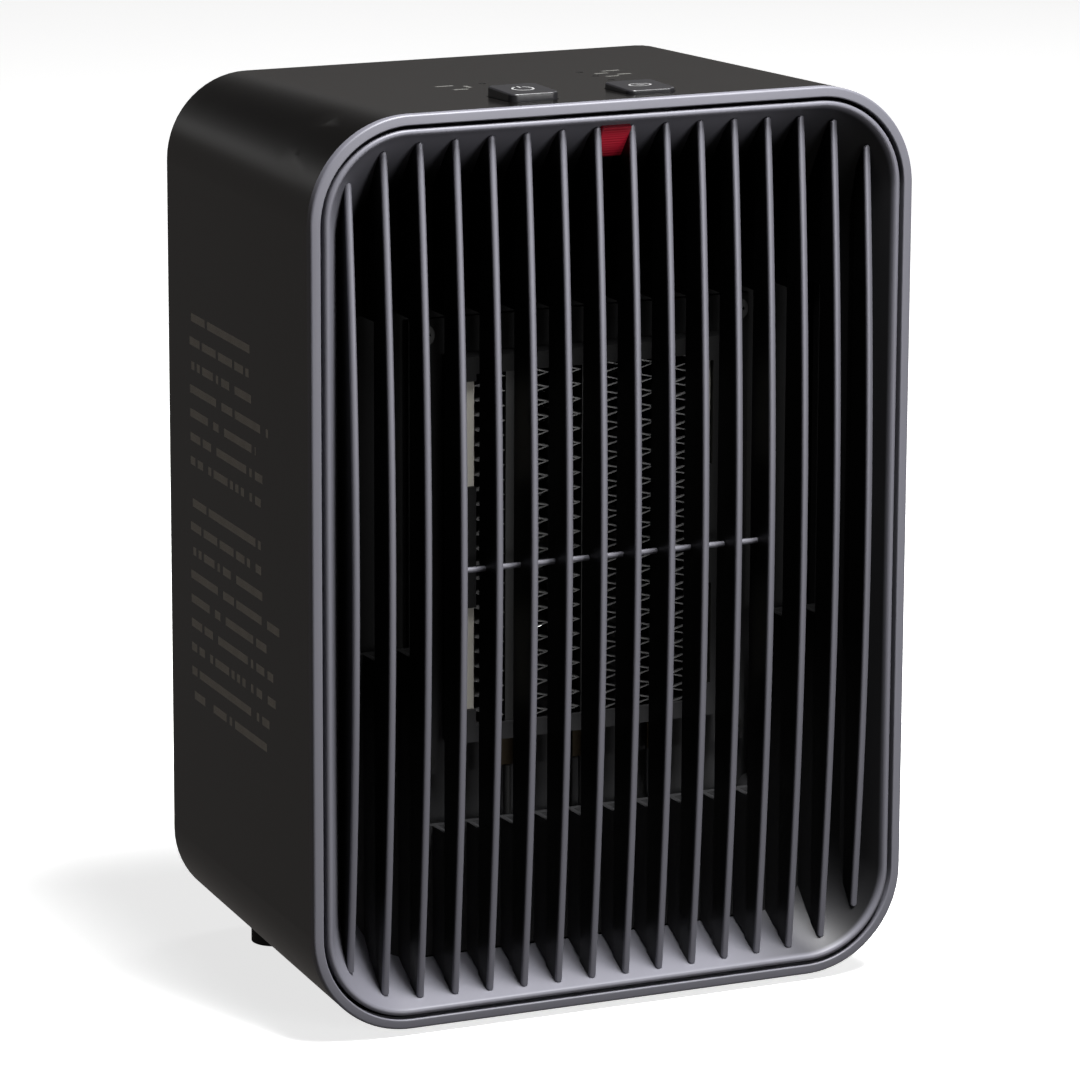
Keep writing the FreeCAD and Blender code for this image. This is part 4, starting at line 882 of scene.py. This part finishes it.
class HEATER_OT_core(bpy.types.Operator):
    """Heating core: baffle, frame, fins, tubes, duct and thermal protection"""
    bl_idname = "heater.core"
    bl_label = "Heating core"

    def execute(self, context):
        for node in ("outlet_baffle", "heater_frame", "fan_duct"):
            dress(node, finish_once("resin", resin_finish))
        dress_all(CORE_NODES)
        return {"FINISHED"}


class HEATER_OT_drive(bpy.types.Operator):
    """Drive: impeller, shaft, rotor, stator, coil, brackets and bearings"""
    bl_idname = "heater.drive"
    bl_label = "Fan and motor"

    def execute(self, context):
        dress_all(DRIVE_NODES)
        return {"FINISHED"}


class HEATER_OT_boards(bpy.types.Operator):
    """Boards: control board, power board and what stands on them"""
    bl_idname = "heater.boards"
    bl_label = "Boards"

    def execute(self, context):
        dress_all(BOARD_NODES)
        return {"FINISHED"}


class HEATER_OT_hardware(bpy.types.Operator):
    """Hardware: feet, back screws, cord gland and its nut"""
    bl_idname = "heater.hardware"
    bl_label = "Hardware"

    def execute(self, context):
        dress_all(HARDWARE_NODES)
        return {"FINISHED"}


FLOOR_GLOW = 0.75
FLOOR_REACH = 12.0       # metres from the middle to each edge of the floor


def floor_finish():
    """Pale finish that holds its own light, so that it stays even without flooding the heater."""
    finish = Finish("studio_floor")
    cloud = finish.noise(3.0, 2.0)
    base = tuple(colours().floor)
    finish.set(Base_Color=finish.mix(cloud, tuple(c * 0.985 for c in base), base), Roughness=0.9)
    finish.set(Specular_IOR_Level=0.1, Emission_Color=(1.0, 1.0, 1.0),
               Emission_Strength=FLOOR_GLOW)
    return finish.material


WORLD_COLOUR = (1.0, 0.94, 0.9, 1)
# strength of the surroundings against the upward part of the way looked at
WORLD_STRENGTH = {"From Min": 0.1, "From Max": 0.3, "To Min": 0.11, "To Max": 0.01}


def studio_world():
    """Dim surroundings: paler low down, near black overhead, so that only the softboxes show
    in the rounded edges."""
    world = bpy.data.worlds.new("studio")
    world.use_nodes = True
    nodes, links = world.node_tree.nodes, world.node_tree.links
    way = nodes.new("ShaderNodeTexCoord")
    split = nodes.new("ShaderNodeSeparateXYZ")
    ramp = nodes.new("ShaderNodeMapRange")
    ramp.interpolation_type = "SMOOTHSTEP"
    for key, value in WORLD_STRENGTH.items():
        ramp.inputs[key].default_value = value
    links.new(way.outputs["Generated"], split.inputs[0])
    links.new(split.outputs["Z"], ramp.inputs["Value"])
    links.new(ramp.outputs[0], nodes["Background"].inputs["Strength"])
    nodes["Background"].inputs["Color"].default_value = WORLD_COLOUR
    return world


# softboxes: name, place, what it looks at, width and height in metres, power in watts
RIM_MIDDLE = (0.0, RIM_PLANE, MIDDLE)
SOFTBOXES = (
    ("softbox_above", (0.14, -0.34, 1.03), RIM_MIDDLE, 0.36, 0.4, 30.0),
    ("softbox_front", (0.45, -1.3, 0.2), RIM_MIDDLE, 0.4, 0.3, 6.5),
    ("backdrop_strip", (0.0, 2.4, 0.75), (0.0, 0.0, 0.15), 3.6, 0.3, 0.6),
    ("softbox_rear", (1.2, 1.1, 1.2), (0.0, 0.06, 0.12), 0.5, 0.5, 3.0),
    ("softbox_back", (-0.95, 2.0, 0.56), RIM_MIDDLE, 1.1, 0.25, 0.16),
)


def softbox(name, place, aim, width, height, power):
    """Rectangular area light that looks at a point."""
    light = bpy.data.lights.new(name, "AREA")
    light.shape = "RECTANGLE"
    light.size = width
    light.size_y = height
    light.energy = power
    lamp = bpy.data.objects.new(name, light)
    lamp.location = place
    lamp.visible_camera = False
    lamp.rotation_euler = (Vector(aim) - Vector(place)).to_track_quat("-Z", "Y").to_euler()
    bpy.context.scene.collection.objects.link(lamp)


# camera, in degrees and housing widths, about the middle of the rim's plane
CAMERA_AZIMUTH = -24.59
CAMERA_ELEVATION = 13.41
CAMERA_ROLL = 0.23
CAMERA_DISTANCE = 8.7786
CAMERA_ACROSS = -0.1164
CAMERA_UP = 0.0297
CAMERA_SENSOR = 36.0     # millimetres
CAMERA_FOCAL = 192.2


def studio_camera():
    azimuth, elevation, roll = (math.radians(a) for a in (
        CAMERA_AZIMUTH, CAMERA_ELEVATION, CAMERA_ROLL))
    back = Vector((math.sin(azimuth) * math.cos(elevation),
                   -math.cos(azimuth) * math.cos(elevation), math.sin(elevation)))
    right = (-back).cross(Vector((0, 0, 1))).normalized()
    up = back.cross(right)
    across = right * math.cos(roll) + up * math.sin(roll)
    upward = up * math.cos(roll) - right * math.sin(roll)
    width = 2 * HALF_WIDTH
    place = Vector(RIM_MIDDLE) + width * (
        back * CAMERA_DISTANCE + across * CAMERA_ACROSS + upward * CAMERA_UP)
    data = bpy.data.cameras.new("studio_camera")
    data.lens = CAMERA_FOCAL
    data.sensor_width = CAMERA_SENSOR
    data.clip_end = 50.0
    camera = bpy.data.objects.new("studio_camera", data)
    turn = Matrix((across, upward, back)).transposed().to_4x4()
    camera.matrix_world = Matrix.Translation(place) @ turn
    bpy.context.scene.collection.objects.link(camera)
    bpy.context.scene.camera = camera


class HEATER_OT_stage(bpy.types.Operator):
    """Stage: pale floor, dim surroundings, softboxes above, in front and behind, and the
    camera"""
    bl_idname = "heater.stage"
    bl_label = "Stage"

    def execute(self, context):
        scene = context.scene
        scene.view_settings.view_transform = "Standard"
        corners = FLOOR_REACH * np.array([[-1, -1, 0], [1, -1, 0], [1, 1, 0], [-1, 1, 0]])
        mesh = bpy.data.meshes.new("studio_floor")
        mesh.from_pydata(corners.tolist(), [], [[0, 1, 2, 3]])
        mesh.materials.append(floor_finish())
        floor = bpy.data.objects.new("studio_floor", mesh)
        scene.collection.objects.link(floor)
        floor.visible_diffuse = False
        floor.visible_glossy = False
        for box in SOFTBOXES:
            softbox(*box)
        scene.world = studio_world()
        studio_camera()
        return {"FINISHED"}


OPERATORS = (HEATER_OT_stage, HEATER_OT_rim, HEATER_OT_bezel, HEATER_OT_slats, HEATER_OT_rib,
             HEATER_OT_indicator, HEATER_OT_housing, HEATER_OT_buttons, HEATER_OT_core,
             HEATER_OT_drive, HEATER_OT_boards, HEATER_OT_hardware)


class HEATER_PT_panel(bpy.types.Panel):
    """Sizes, colours and the pieces of the heater"""
    bl_label = "Ceramic fan heater"
    bl_idname = "HEATER_PT_panel"
    bl_space_type = "VIEW_3D"
    bl_region_type = "UI"
    bl_category = "Heater"

    def draw(self, context):
        for group in (context.scene.heater_sizes, context.scene.heater_colours):
            box = self.layout.box()
            for name in group.bl_rna.properties.keys():
                if name not in ("rna_type", "name"):
                    box.prop(group, name)
        for operator in OPERATORS:
            self.layout.operator(operator.bl_idname)


CLASSES = (HeaterSizes, HeaterColours) + OPERATORS + (HEATER_PT_panel,)


def register():
    for part in CLASSES:
        bpy.utils.register_class(part)
    bpy.types.Scene.heater_sizes = bpy.props.PointerProperty(type=HeaterSizes)
    bpy.types.Scene.heater_colours = bpy.props.PointerProperty(type=HeaterColours)


def unregister():
    del bpy.types.Scene.heater_sizes
    del bpy.types.Scene.heater_colours
    for part in reversed(CLASSES):
        bpy.utils.unregister_class(part)


def main():
    register()
    for operator in OPERATORS:
        group, name = operator.bl_idname.split(".")
        getattr(getattr(bpy.ops, group), name)()


if __name__ == "__main__":
    main()
